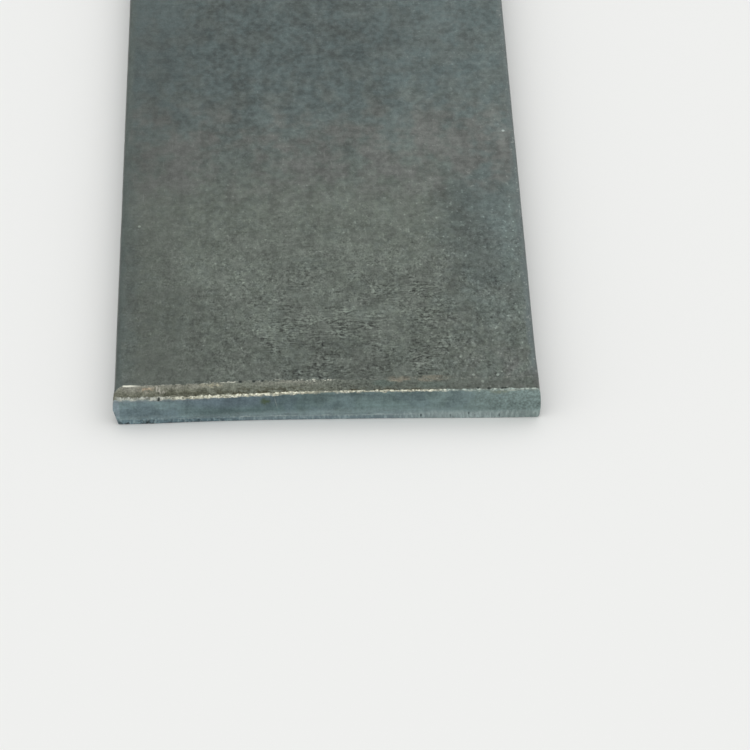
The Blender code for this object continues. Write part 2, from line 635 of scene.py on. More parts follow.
@dataclass(frozen=True)
class PickledSkin:
    """The dull rolled face: a fine grain, dashes of crackle across the bar, pale specks and slow clouds, the
    grain painted lighter where raised and darker where sunk.
    """

    main_tone: Colour = (0.122, 0.141, 0.1215)
    warm_tone: Colour = (0.131, 0.139, 0.1315)
    blue_tone: Colour = (0.108, 0.141, 0.1405)
    rust_tone: Colour = (0.190, 0.179, 0.140)
    roughness: float = 0.50
    stains: tuple[Stain, ...] = (
        Stain(19.2, 48.0, 3.4, 14.0, -0.20),
        Stain(22.8, 36.0, 4.0, 11.0, -0.22),
        Stain(18.8, 28.0, 3.4, 8.0, -0.12),
        Stain(27.6, 24.0, 4.4, 42.0, 0.08),
        Stain(-13.5, 74.0, 6.0, 22.0, -0.14),
        Stain(-26.0, 88.0, 7.0, 24.0, -0.12),
        Stain(-13.0, 28.5, 6.5, 7.5, 0.11),
        Stain(11.0, 42.0, 7.5, 28.0, 0.03),
        Stain(1.5, 42.0, 9.5, 7.5, -0.13),
        Stain(19.5, 73.0, 6.0, 7.0, -0.08),
        Stain(12.5, 33.5, 6.0, 6.0, 0.09),
        Stain(-14.5, 38.0, 5.5, 8.0, -0.11),
        Stain(-15.0, 11.0, 5.0, 6.5, -0.09),
        Stain(23.5, 88.0, 7.0, 13.0, 0.10),
        Stain(28.2, 67.0, 1.3, 7.0, 0.22),
        Stain(-3.0, 14.0, 6.5, 5.5, 0.15),
        Stain(9.0, 20.5, 8.0, 5.5, 0.08),
        Stain(-13.5, 5.0, 4.5, 3.0, 0.07),
        Stain(13.5, 4.0, 6.0, 3.0, 0.16),
        Stain(23.5, 5.0, 8.0, 6.0, 0.14),
    )
    flakes: tuple[Spot, ...] = (
        Spot(20.7, 3.6, 0.30, 0.42),
        Spot(21.9, 1.95, 0.30, 0.42),
        Spot(24.1, 3.5, 0.30, 0.42),
        Spot(-27.0, 44.0, 0.30, 0.42),
        Spot(28.0, 70.0, 0.30, 0.42),
    )
    rust_spots: tuple[Spot, ...] = (Spot(10.2, 3.05, 2.2, 0.75), Spot(14.8, 3.10, 3.4, 0.80))
    crackle_field: Spot = Spot(4.5, 17.0, 18.5, 21.0)
    bend_grain: Grain = Grain(5.0, (1.0, 1.5, 1.0), shift=13.1)
    slow_grain: Grain = Grain(11.0, (1.0, 1.6, 1.0), shift=3.1)
    blotch_grain: Grain = Grain(2.6, (1.0, 1.5, 1.0), shift=5.3)
    mottle_grain: Grain = Grain(0.95, (1.0, 1.5, 1.0), detail=1.0, shift=15.2)
    smear_grain: Grain = Grain(1.3, (1.0, 12.0, 1.0), shift=7.7)
    drift_grain: Grain = Grain(30.0, (1.0, 1.8, 1.0), detail=3.0, roughness=0.6, shift=45.6)
    patch_grain: Grain = Grain(3.6, (1.0, 1.4, 1.0), roughness=0.6, shift=21.4, swing=0.16)
    small_grain: Grain = Grain(0.9, (1.0, 1.5, 1.0), shift=22.6, swing=0.16)
    gain_grain: Grain = Grain(2.0, (1.2, 1.6, 1.0), roughness=0.6, shift=19.4)
    patchy_grain: Grain = Grain(5.0, (1.0, 1.3, 1.0), shift=2.2)
    fine_grain: Grain = Grain(0.25, (1.0, 1.8, 1.0), detail=1.0)
    fleck_grain: Grain = Grain(0.5, (1.0, 1.7, 1.0), detail=1.0, shift=31.7)
    dash_grain: Grain = Grain(0.42, (1.6, 1.0, 1.0), detail=1.0, distortion=0.25, shift=11.0, swing=0.16)
    line_grain: Grain = Grain(0.4, (6.0, 1.0, 1.0), detail=1.0, distortion=0.1, shift=71.3, swing=0.16)
    hair_grain: Grain = Grain(0.5, (16.0, 1.0, 1.0), detail=1.0, shift=76.9)
    coarse_grain: Grain = Grain(0.62, (1.0, 1.5, 1.0), roughness=0.6, shift=81.7)
    speck_grain: Grain = Grain(0.46, (1.0, 1.6, 1.0), detail=1.0, shift=8.8)
    pricks_grain: Grain = Grain(0.42, (1.4, 1.3, 1.0), detail=1.0, shift=18.3)
    drawn_grain: Grain = Grain(0.32, (1.0, 7.5, 1.0), detail=1.0, shift=27.5)

    def clouds(self, bench: Bench, site: Site) -> Socket:
        """Lay out how light the face is: broad changes along it, a painted shading across it that is darker
        on the left and lighter on the right, its stains and its slow mottling.

        Args:
            bench: The material's nodes.
            site: Where on the bar it is asked for.

        Returns:
            The lightness, about 1.
        """
        place = site.place
        bend = bench.sway(place, self.bend_grain)
        across = bench.sum("MULTIPLY_ADD", bend, 1.6, site.across)
        along = bench.sum("MULTIPLY_ADD", bend, -3.0, site.along)
        middle = bench.product(
            bench.ramp(along, 5.0, 25.0, 0.78, 0.965),
            bench.ramp(along, 48.0, 66.0, 1.0, 0.94),
            bench.ramp(along, 68.0, 84.0, 1.0, 0.82),
            bench.ramp(along, 96.0, 180.0, 1.0, 1.13),
        )
        # Painted shading across the face: darker on the left, lighter on the right.
        left = bench.product(bench.ramp(across, -11.0, -28.0), bench.span(along, 12.0, 70.0, 18.0))
        right = bench.product(bench.ramp(across, 5.0, 18.0), bench.ramp(along, 55.0, 74.0))
        broad = bench.sum("MULTIPLY", middle, bench.total(1.0, (left, -0.18), (right, 0.18)))
        stains = [(bench.spot(across, along, stain), stain.change) for stain in self.stains]
        slow = bench.sway(place, self.slow_grain)
        blotch = bench.sway(place, self.blotch_grain)
        mottle = bench.sway(place, self.mottle_grain)
        smear = bench.sway(place, self.smear_grain)
        calm = bench.ramp(site.across, -27.0, -14.0, 0.5, 1.0)
        drift = self.drift(bench, site)
        return bench.total(
            0.0,
            (broad, bench.total(1.0, *stains, (slow, 0.07), (smear, 0.045), (drift, 0.08))),
            (bench.product(blotch, calm), 0.10),
            (bench.product(mottle, calm), 0.13),
        )

    def drift(self, bench: Bench, site: Site) -> Socket:
        """Lay out the slow change along the rest of the bar, from 0 near the sheared end.

        Args:
            bench: The material's nodes.
            site: Where on the bar it is asked for.

        Returns:
            The change, between -1 and 1.
        """
        slow = bench.sway(site.place, self.drift_grain)
        return bench.product(slow, bench.ramp(site.along, 88.0, 130.0))

    def tone(self, bench: Bench, site: Site) -> Socket:
        """Lay out the face's hue: green-grey, bluer to the far end and the right, here and there mauve.

        Args:
            bench: The material's nodes.
            site: Where on the bar it is asked for.

        Returns:
            The colour.
        """
        patch = bench.sway(site.place, self.patch_grain)
        small = bench.sway(site.place, self.small_grain)
        right = bench.product(
            bench.ramp(site.across, 13.0, 25.0),
            bench.ramp(site.along, 6.0, 48.0, 0.15, 0.75),
        )
        left = bench.ramp(site.across, -25.5, -28.5, 0.0, 0.35)
        drift = self.drift(bench, site)
        beyond = bench.sum("MULTIPLY_ADD", drift, 0.35, bench.ramp(site.along, 96.0, 180.0, 1.0, 0.55))
        blue = bench.most(bench.product(bench.ramp(site.along, 46.0, 92.0), beyond), right, left)
        patched = bench.ramp(site.along, 50.0, 70.0, -0.08, -0.20)
        blue = bench.total(0.0, (blue, 1.0), (patch, patched), (small, 0.08))
        warm = bench.most(
            bench.product(bench.span(site.along, 52.0, 78.0, 16.0), 0.55),
            bench.product(bench.ramp(site.across, 14.0, 26.0), bench.ramp(site.along, 14.0, 4.0), 0.5),
            0.12,
        )
        warm = bench.product(warm, bench.sum("MULTIPLY_ADD", patch, 0.8, 1.0))
        warm = bench.total(0.0, (warm, 1.0), (small, 0.10))
        tone = bench.mix(blue, self.main_tone, self.blue_tone)
        tone = bench.mix(warm, tone, self.warm_tone)
        rust = bench.spots(site.across, site.along, self.rust_spots)
        return bench.mix(bench.product(rust, bench.ramp(small, -0.9, 0.3, 0.2, 0.75)), tone, self.rust_tone)

    def paint(self, bench: Bench, site: Site) -> Coat:
        """Lay the finish out.

        Args:
            bench: The material's nodes.
            site: Where on the bar it is painted.

        Returns:
            The finish.
        """
        place = site.place
        calm = bench.ramp(site.across, -26.0, -12.0, 0.52, 1.0)
        gain = bench.ramp(bench.grain(place, self.gain_grain), 0.36, 0.64, 0.45, 1.55)
        rough = bench.product(calm, gain)
        near = bench.ramp(site.along, 36.0, 60.0, 1.0, 0.22)
        patchy = bench.ramp(bench.grain(place, self.patchy_grain), 0.36, 0.58, 0.30, 1.0)
        field = bench.spot(site.across, site.along, self.crackle_field)
        crackled = bench.product(bench.most(bench.ramp(field, 0.0, 0.5), 0.22), patchy, near)
        worn = bench.product(bench.ramp(site.across, 11.0, 18.0), bench.ramp(site.along, 30.0, 12.0))

        fine = bench.sway(place, self.fine_grain)
        fleck = bench.sway(place, self.fleck_grain)
        dash = bench.sway(place, self.dash_grain)
        line = bench.sway(place, self.line_grain)
        hair = bench.sway(place, self.hair_grain)
        coarse = bench.sway(place, self.coarse_grain)
        speck = bench.ramp(bench.grain(place, self.speck_grain), 0.64, 0.78)
        pricks = bench.ramp(bench.grain(place, self.pricks_grain), 0.36, 0.22)
        drawn = bench.ramp(bench.grain(place, self.drawn_grain), 0.66, 0.78)
        drawn = bench.product(
            drawn,
            bench.span(site.along, 20.0, 75.0, 12.0),
            bench.span(site.across, -27.0, 12.0, 9.0),
        )
        speck_share = bench.product(
            bench.ramp(site.along, 40.0, 66.0, 0.50, 0.18),
            bench.ramp(site.across, 9.0, 18.0, 1.0, 1.5),
        )

        # Partly residue in the crevices, partly painted relief shading: the grain, flecks, crackle dashes and
        # specks are lighter where their relief is raised, and the pricks darker where it is sunk.
        texture = bench.total(
            1.0,
            (bench.product(fine, rough), bench.ramp(site.along, 28.0, 50.0, 0.11, 0.01)),
            (bench.product(fleck, rough), bench.ramp(site.along, 28.0, 56.0, 0.16, 0.035)),
            (hair, bench.ramp(site.along, 30.0, 60.0, 0.01, 0.032)),
            (bench.product(dash, crackled, gain), 0.30),
            (bench.product(line, crackled), 0.15),
            (bench.product(coarse, worn), 0.185),
            (bench.product(speck, calm), speck_share),
            (bench.product(pricks, calm), bench.ramp(site.along, 40.0, 66.0, -0.30, -0.12)),
            (drawn, 0.30),
        )
        flakes = bench.spots(site.across, site.along, self.flakes)
        texture = bench.total(0.0, (texture, 1.0), (flakes, 1.4))
        strength = bench.sum("MULTIPLY", self.clouds(bench, site), texture)
        relief = bench.total(
            0.0,
            (bench.product(fine, calm), 0.004),
            (bench.product(fleck, calm), 0.007),
            (bench.product(dash, crackled), 0.016),
            (speck, 0.006),
            (pricks, -0.010),
        )
        roughness = bench.total(self.roughness, (fine, -0.05), (speck, -0.06))
        return Coat(bench.shade(self.tone(bench, site), strength), roughness, relief)


@dataclass(frozen=True)
class RolledEdge:
    """The narrow rolled sides and the strips beside them: drawn out lengthwise, with painted shading that
    leaves them dark on the left and pale on the right.
    """

    # The left strip's tone and the darker tone of its upper corner are painted shade; the right strip's paler
    # tone is painted sheen.
    side_tone: Colour = (0.108, 0.128, 0.124)
    left_tone: Colour = (0.082, 0.101, 0.094)
    corner_tone: Colour = (0.052, 0.066, 0.056)
    right_tone: Colour = (0.114, 0.139, 0.137)
    end_tone: Colour = (0.098, 0.104, 0.100)
    speck_tone: Colour = (0.25, 0.27, 0.26)
    roughness: float = 0.46
    start: float = 28.35
    full: float = 29.45
    ragged_grain: Grain = Grain(0.9, (1.0, 4.0, 1.0), detail=3.0, roughness=0.6, shift=1.7)
    drawn_grain: Grain = Grain(0.5, (1.0, 9.0, 1.0), detail=3.0, roughness=0.6, shift=6.1)
    fine_grain: Grain = Grain(0.32, (1.0, 1.6, 1.0), shift=9.4)
    speck_grain: Grain = Grain(0.42, (1.0, 1.6, 1.0), detail=1.0, shift=3.9)

    def where(self, bench: Bench, site: Site) -> Socket:
        """Say where the finish shows.

        Args:
            bench: The material's nodes.
            site: Where on the bar it is asked for.

        Returns:
            Its share, from 0 to 1.
        """
        ragged = bench.sway(site.place, self.ragged_grain)
        reach = bench.sum("MULTIPLY_ADD", ragged, 0.35, bench.sum("ABSOLUTE", site.across))
        return bench.ramp(reach, self.start, self.full)

    def paint(self, bench: Bench, site: Site) -> Coat:
        """Lay the finish out.

        Args:
            bench: The material's nodes.
            site: Where on the bar it is painted.

        Returns:
            The finish.
        """
        drawn = bench.sway(site.place, self.drawn_grain)
        fine = bench.sway(site.place, self.fine_grain)
        speck = bench.ramp(bench.grain(site.place, self.speck_grain), 0.60, 0.74)
        on_top = bench.ramp(site.height, 4.2, 4.8)
        # Painted shading: the left strip dark, the right one pale except by the cut.
        right = bench.mix(bench.ramp(site.along, 7.0, 2.5), self.right_tone, self.end_tone)
        upper = bench.mix(bench.ramp(site.across, -5.0, 5.0), self.left_tone, right)
        tone = bench.mix(on_top, self.side_tone, upper)
        # Painted shade on the upper left rounded corner.
        corner = bench.product(bench.ramp(site.across, -29.45, -29.85), bench.ramp(site.height, 3.6, 4.5))
        tone = bench.mix(corner, tone, self.corner_tone)
        tone = bench.shade(tone, bench.total(1.0, (drawn, 0.13), (fine, 0.11)))
        # Pale specks, more of them to the right: partly real specks, partly painted glints.
        speck = bench.product(speck, bench.ramp(site.across, -28.0, 28.0, 0.12, 0.75))
        tone = bench.mix(speck, tone, self.speck_tone)
        relief = bench.total(0.0, (drawn, 0.006), (fine, 0.004))
        return Coat(tone, self.roughness, relief)


@dataclass(frozen=True)
class RollOverBand:
    """The band that the blade pulled down: brown-grey, rubbed, with a painted highlight along the broken
    crease behind it.
    """

    left_tone: Colour = (0.156, 0.160, 0.127)
    middle_tone: Colour = (0.147, 0.160, 0.133)
    far_tone: Colour = (0.088, 0.102, 0.088)
    dark_tone: Colour = (0.074, 0.076, 0.055)
    pale_tone: Colour = (0.198, 0.198, 0.168)
    green_tone: Colour = (0.086, 0.118, 0.104)
    scratch_tone: Colour = (0.36, 0.35, 0.31)
    glint_tone: Colour = (0.68, 0.68, 0.59)
    ochre_tone: Colour = (0.30, 0.245, 0.178)
    cream_tone: Colour = (0.34, 0.320, 0.225)
    rust_tone: Colour = (0.178, 0.161, 0.124)
    line_tone: Colour = (0.050, 0.046, 0.026)
    roughness: float = 0.44
    green_spots: tuple[Spot, ...] = (Spot(8.0, 1.9, 2.0, 1.1), Spot(14.8, 1.35, 2.8, 0.9))
    rust_spots: tuple[Spot, ...] = (Spot(10.2, 2.65, 2.1, 0.85), Spot(14.6, 2.75, 3.0, 0.90))
    halo_spot: Spot = Spot(-27.2, 1.95, 2.6, 1.25)
    ochre_spot: Spot = Spot(-25.2, 1.60, 1.6, 0.8)
    cream_spot: Spot = Spot(-16.2, 2.15, 2.1, 0.70)
    hollow_spot: Spot = Spot(1.5, 1.5, 6.0, 1.5)
    wobble_grain: Grain = Grain(0.8, (1.0, 0.5, 1.0), roughness=0.6, shift=4.8)
    rubbed_grain: Grain = Grain(0.75, (1.5, 0.8, 1.0), roughness=0.6, shift=2.9)
    fine_grain: Grain = Grain(0.24, (1.0, 1.3, 1.0), shift=5.9)
    fleck_grain: Grain = Grain(0.48, detail=1.0, shift=37.5)
    streak_grain: Grain = Grain(0.22, (1.0, 9.0, 1.0), detail=1.0, shift=35.9)
    grit_grain: Grain = Grain(0.36, (1.2, 1.0, 1.0), detail=1.0, shift=12.3)
    scratch_grain: Grain = Grain(0.3, (1.0, 40.0, 1.0), detail=1.0, shift=40.2)
    glint_grain: Grain = Grain(0.34, (1.2, 1.0, 1.0), detail=1.0, roughness=0.6, shift=1.3)

    def reach(self, bench: Bench, site: Site) -> Socket:
        """Say how long the band is, from the cut to the crease behind it.

        Args:
            bench: The material's nodes.
            site: Where on the bar it is asked for.

        Returns:
            The length in millimetres.
        """
        length = bench.ramp(
            site.across,
            ShearedEnd.length_start / MM,
            ShearedEnd.length_end / MM,
            ShearedEnd.left_length / MM,
            ShearedEnd.length / MM,
        )
        corner = bench.ramp(
            site.across,
            ShearedEnd.corner_start / MM,
            ShearedEnd.corner_end / MM,
            1.0,
            ShearedEnd.corner_share,
        )
        length = bench.product(length, corner)
        wobble = bench.sway(site.place, self.wobble_grain)
        loose = bench.ramp(site.across, -25.0, -14.0, 0.03, 0.24)
        return bench.sum("MULTIPLY_ADD", wobble, loose, length)

    def where(self, bench: Bench, site: Site) -> Socket:
        """Say where the finish shows.

        Args:
            bench: The material's nodes.
            site: Where on the bar it is asked for.

        Returns:
            Its share, from 0 to 1.
        """
        behind = bench.sum("SUBTRACT", site.along, self.reach(bench, site))
        on_top = bench.ramp(site.height, 3.4, 3.9)
        fading = bench.ramp(site.across, 2.0, 22.0, 1.0, 0.35)
        return bench.product(bench.ramp(behind, -0.25, 0.12, 1.0, 0.0), on_top, fading)

    def paint(self, bench: Bench, site: Site) -> Coat:
        """Lay the finish out.

        Args:
            bench: The material's nodes.
            site: Where on the bar it is painted.

        Returns:
            The finish.
        """
        place = site.place
        across = site.across
        share = bench.sum("DIVIDE", site.along, self.reach(bench, site))
        rubbed = bench.sway(place, self.rubbed_grain)
        fine = bench.sway(place, self.fine_grain)
        fleck = bench.sway(place, self.fleck_grain)
        streak = bench.sway(place, self.streak_grain)

        tone = bench.mix(bench.ramp(across, -22.0, -10.0), self.left_tone, self.middle_tone)
        tone = bench.mix(bench.ramp(across, -5.0, 8.0), tone, self.far_tone)
        pale = bench.product(
            bench.ramp(share, 0.48, 0.82),
            bench.most(
                bench.span(across, -29.2, -14.5, 2.0),
                bench.product(bench.span(across, -10.0, -1.0, 3.0), 0.8),
            ),
            bench.ramp(rubbed, -0.6, 0.7, 0.2, 0.8),
        )
        tone = bench.mix(pale, tone, self.pale_tone)
        dark = bench.product(
            bench.ramp(share, 0.84, 0.28),
            bench.ramp(rubbed, 0.5, -0.6, 0.25, 0.95),
            bench.most(bench.span(across, -25.0, 0.0, 6.0), 0.42),
        )
        tone = bench.mix(dark, tone, self.dark_tone)
        green = bench.spots(across, site.along, self.green_spots)
        tone = bench.mix(bench.product(green, 0.7), tone, self.green_tone)
        line = bench.product(
            bench.most(
                bench.span(across, 3.2, 14.6, 1.0),
                bench.product(bench.span(across, -13.0, -3.5, 2.0), 0.8),
            ),
            bench.span(site.along, 0.16, 0.55, 0.25),
            bench.ramp(rubbed, 0.6, -0.3),
        )
        tone = bench.mix(line, tone, self.line_tone)
        # Painted highlight: a pale halo round the bright crease at the left end.
        halo = bench.spot(across, site.along, self.halo_spot)
        tone = bench.mix(bench.product(halo, 0.85), tone, self.pale_tone)
        grit = bench.ramp(bench.grain(place, self.grit_grain), 0.46, 0.64)
        rust = bench.spots(across, site.along, self.rust_spots)
        tone = bench.mix(bench.product(rust, bench.ramp(rubbed, -0.8, 0.3)), tone, self.rust_tone)
        ochre = bench.product(bench.spot(across, site.along, self.ochre_spot), grit, 0.8)
        tone = bench.mix(ochre, tone, self.ochre_tone)
        cream = bench.product(bench.spot(across, site.along, self.cream_spot), grit, 0.55)
        tone = bench.mix(cream, tone, self.cream_tone)

        crease = bench.product(bench.span(share, 0.80, 1.10, 0.2), bench.ramp(across, 2.0, 10.0))
        # Painted shade, as of a shallow hollow: the band is darker in a spot near the bar's middle.
        hollow = bench.spot(across, site.along, self.hollow_spot)
        tone = bench.shade(
            tone,
            bench.total(
                1.0,
                (fine, bench.ramp(across, -8.0, 4.0, 0.17, 0.26)),
                (fleck, bench.ramp(across, -8.0, 4.0, 0.15, 0.24)),
                (streak, 0.11),
                (rubbed, 0.06),
                (crease, 0.16),
                (hollow, -0.12),
            ),
        )
        scratch = bench.ramp(bench.grain(place, self.scratch_grain), 0.52, 0.66)
        scratch = bench.product(
            scratch,
            bench.span(across, -25.3, -22.6, 0.8),
            bench.span(site.along, 0.9, 2.2, 0.7),
        )
        tone = bench.mix(bench.product(scratch, 0.8), tone, self.scratch_tone)
        relief = bench.total(0.0, (rubbed, 0.012), (fine, 0.008))
        return Coat(tone, self.roughness, relief)

    def glints(self, bench: Bench, site: Site) -> Socket:
        """Say where the crease behind the band gets its painted highlight.

        Args:
            bench: The material's nodes.
            site: Where on the bar it is asked for.

        Returns:
            The share of bright metal, from 0 to 1.
        """
        away = bench.sum("SUBTRACT", site.along, self.reach(bench, site))
        wide = bench.span(away, -0.20, 0.16, 0.22)
        thin = bench.span(away, -0.10, 0.10, 0.16)
        grit = bench.ramp(bench.grain(site.place, self.glint_grain), 0.45, 0.66)
        fading = bench.ramp(site.across, -27.6, -26.2, 1.0, 0.0)
        straight = bench.product(
            wide,
            bench.span(site.across, -28.55, -26.1, 0.35),
            bench.sum("MULTIPLY_ADD", fading, 0.8, 0.25),
        )
        zigzag = bench.product(
            thin,
            bench.span(site.across, -14.9, -12.8, 0.6),
            bench.ramp(grit, 0.0, 0.7, 0.45, 0.9),
        )
        speckled = bench.product(wide, bench.span(site.across, -4.6, 0.9, 1.2), grit, 0.75)
        cream = bench.product(wide, bench.span(site.across, -18.2, -15.0, 1.0), grit, 0.28)
        faint = bench.product(thin, bench.ramp(site.across, -26.0, 16.0, 0.30, 0.12), grit)
        brightest = bench.most(straight, zigzag, speckled, cream, faint)
        return bench.product(brightest, bench.ramp(site.height, 3.4, 3.9))


@dataclass(frozen=True)
class BurnishedCut:
    """The part of the cut that the blade slid along: smooth, blue-green grey, faintly streaked, with painted
    shading that darkens its top and lightens its foot.
    """

    left_tone: Colour = (0.190, 0.260, 0.268)
    dark_tone: Colour = (0.128, 0.182, 0.184)
    middle_tone: Colour = (0.170, 0.233, 0.231)
    right_tone: Colour = (0.197, 0.256, 0.247)
    # Painted highlight: the lit tone of the small facet at the cut's upper left corner.
    facet_tone: Colour = (0.250, 0.310, 0.345)
    slate_tone: Colour = (0.142, 0.190, 0.216)
    green_tone: Colour = (0.080, 0.110, 0.068)
    smear_tone: Colour = (0.172, 0.200, 0.160)
    scratch_tone: Colour = (0.30, 0.35, 0.34)
    # Painted light: the paler tone the cut takes towards its foot.
    pale_tone: Colour = (0.305, 0.381, 0.390)
    lip_tone: Colour = (0.190, 0.205, 0.222)
    roughness: float = 0.40
    slate_spot: Spot = Spot(-13.5, 3.9, 10.0, 2.0)
    green_spot: Spot = Spot(-8.6, 3.35, 1.0, 0.95)
    smear_spot: Spot = Spot(24.2, 4.7, 1.9, 0.75)
    scratch_place: float = -7.15
    broad_grain: Grain = Grain(2.8, (1.2, 1.0, 1.0), shift=33.3)
    other_grain: Grain = Grain(2.0, (1.6, 1.0, 1.0), shift=61.3)
    soft_grain: Grain = Grain(0.95, (1.3, 1.0, 1.0), roughness=0.55, shift=3.3)
    streak_grain: Grain = Grain(0.3, (1.0, 1.0, 9.0), shift=7.1)
    fine_grain: Grain = Grain(0.28, detail=1.0, shift=2.5)
    level_grain: Grain = Grain(0.36, (8.0, 1.0, 1.0), shift=66.1)

    def paint(self, bench: Bench, site: Site) -> Coat:
        """Lay the finish out.

        Args:
            bench: The material's nodes.
            site: Where on the bar it is painted.

        Returns:
            The finish.
        """
        place = site.place
        across = site.across
        broad = bench.sway(place, self.broad_grain)
        other = bench.sway(place, self.other_grain)
        soft = bench.sway(place, self.soft_grain)
        streak = bench.sway(place, self.streak_grain)
        fine = bench.sway(place, self.fine_grain)
        level = bench.sway(place, self.level_grain)

        tone = bench.mix(bench.ramp(across, -24.0, -14.0), self.left_tone, self.dark_tone)
        tone = bench.mix(bench.ramp(across, -6.0, 2.0), tone, self.middle_tone)
        tone = bench.mix(bench.ramp(across, 8.0, 26.0), tone, self.right_tone)
        slate = bench.most(
            bench.product(bench.ramp(broad, -0.1, 0.9), bench.ramp(across, -8.0, 2.0, 0.55, 0.30)),
            bench.product(bench.spot(across, site.height, self.slate_spot), 0.95),
        )
        tone = bench.mix(slate, tone, self.slate_tone)
        # Painted highlight on the small facet at the cut's upper left corner.
        facet = bench.product(bench.ramp(across, -28.95, -29.2), bench.ramp(site.height, 4.5, 4.0))
        tone = bench.mix(bench.product(facet, 0.85), tone, self.facet_tone)
        green = bench.spot(across, site.height, self.green_spot)
        tone = bench.mix(bench.product(green, bench.ramp(soft, -0.6, 0.4, 0.4, 0.95)), tone, self.green_tone)
        smear = bench.spot(across, site.height, self.smear_spot)
        tone = bench.mix(bench.product(smear, bench.ramp(fine, -0.8, 0.6, 0.35, 0.95)), tone, self.smear_tone)
        bow = bench.sum("MULTIPLY_ADD", bench.sum("SINE", site.height), 0.22, self.scratch_place)
        scratch = bench.product(bench.ridge(across, bow, 0.10), bench.ridge(site.height, 3.3, 1.5))
        tone = bench.mix(bench.product(scratch, 0.8), tone, self.scratch_tone)
        lip = bench.product(
            bench.span(site.rim, 0.28, 0.52, 0.16),
            bench.ramp(across, -17.0, -12.0, 0.5, 0.0),
        )
        tone = bench.mix(lip, tone, self.lip_tone)
        # Painted shading: the cut paler towards its foot.
        wavy = bench.sum("MULTIPLY_ADD", soft, 0.16, site.height)
        start = bench.ramp(across, -20.0, 0.0, 1.70, 2.35)
        pale = bench.product(
            bench.ramp(wavy, bench.product(start, bench.ramp(across, 14.0, 22.0, 1.0, 0.74)), 0.85),
            bench.ramp(across, -24.0, -4.0, 0.50, 0.85),
            bench.ramp(across, 14.0, 25.0, 1.0, 0.45),
        )
        tone = bench.mix(pale, tone, self.pale_tone)

        rough = bench.ramp(across, 18.0, 26.0, 0.085, 0.22)
        # Painted shading: the top of the cut darker, except at the right end, where it is a little lighter.
        high = bench.ramp(across, -26.0, -16.0, -0.02, -0.17)
        grit = bench.product(fine, rough)
        uneven = bench.ramp(across, 14.0, 24.0, 0.13, 0.05)
        upper = bench.product(
            bench.ramp(site.height, 2.6, 4.4),
            bench.ramp(across, 15.0, 23.0, 1.0, -0.5),
        )
        lower = bench.product(
            bench.ramp(site.height, 3.6, 2.6),
            bench.ramp(across, -24.0, -16.0),
        )
        strength = bench.total(
            1.0,
            (grit, 1.0),
            (soft, 0.13),
            (other, uneven),
            (level, 0.05),
            (streak, 0.04),
            (upper, high),
            (lower, 0.02),
        )
        relief = bench.total(0.0, (streak, 0.004), (bench.product(fine, rough), 0.04))
        return Coat(bench.shade(tone, strength), self.roughness, relief)


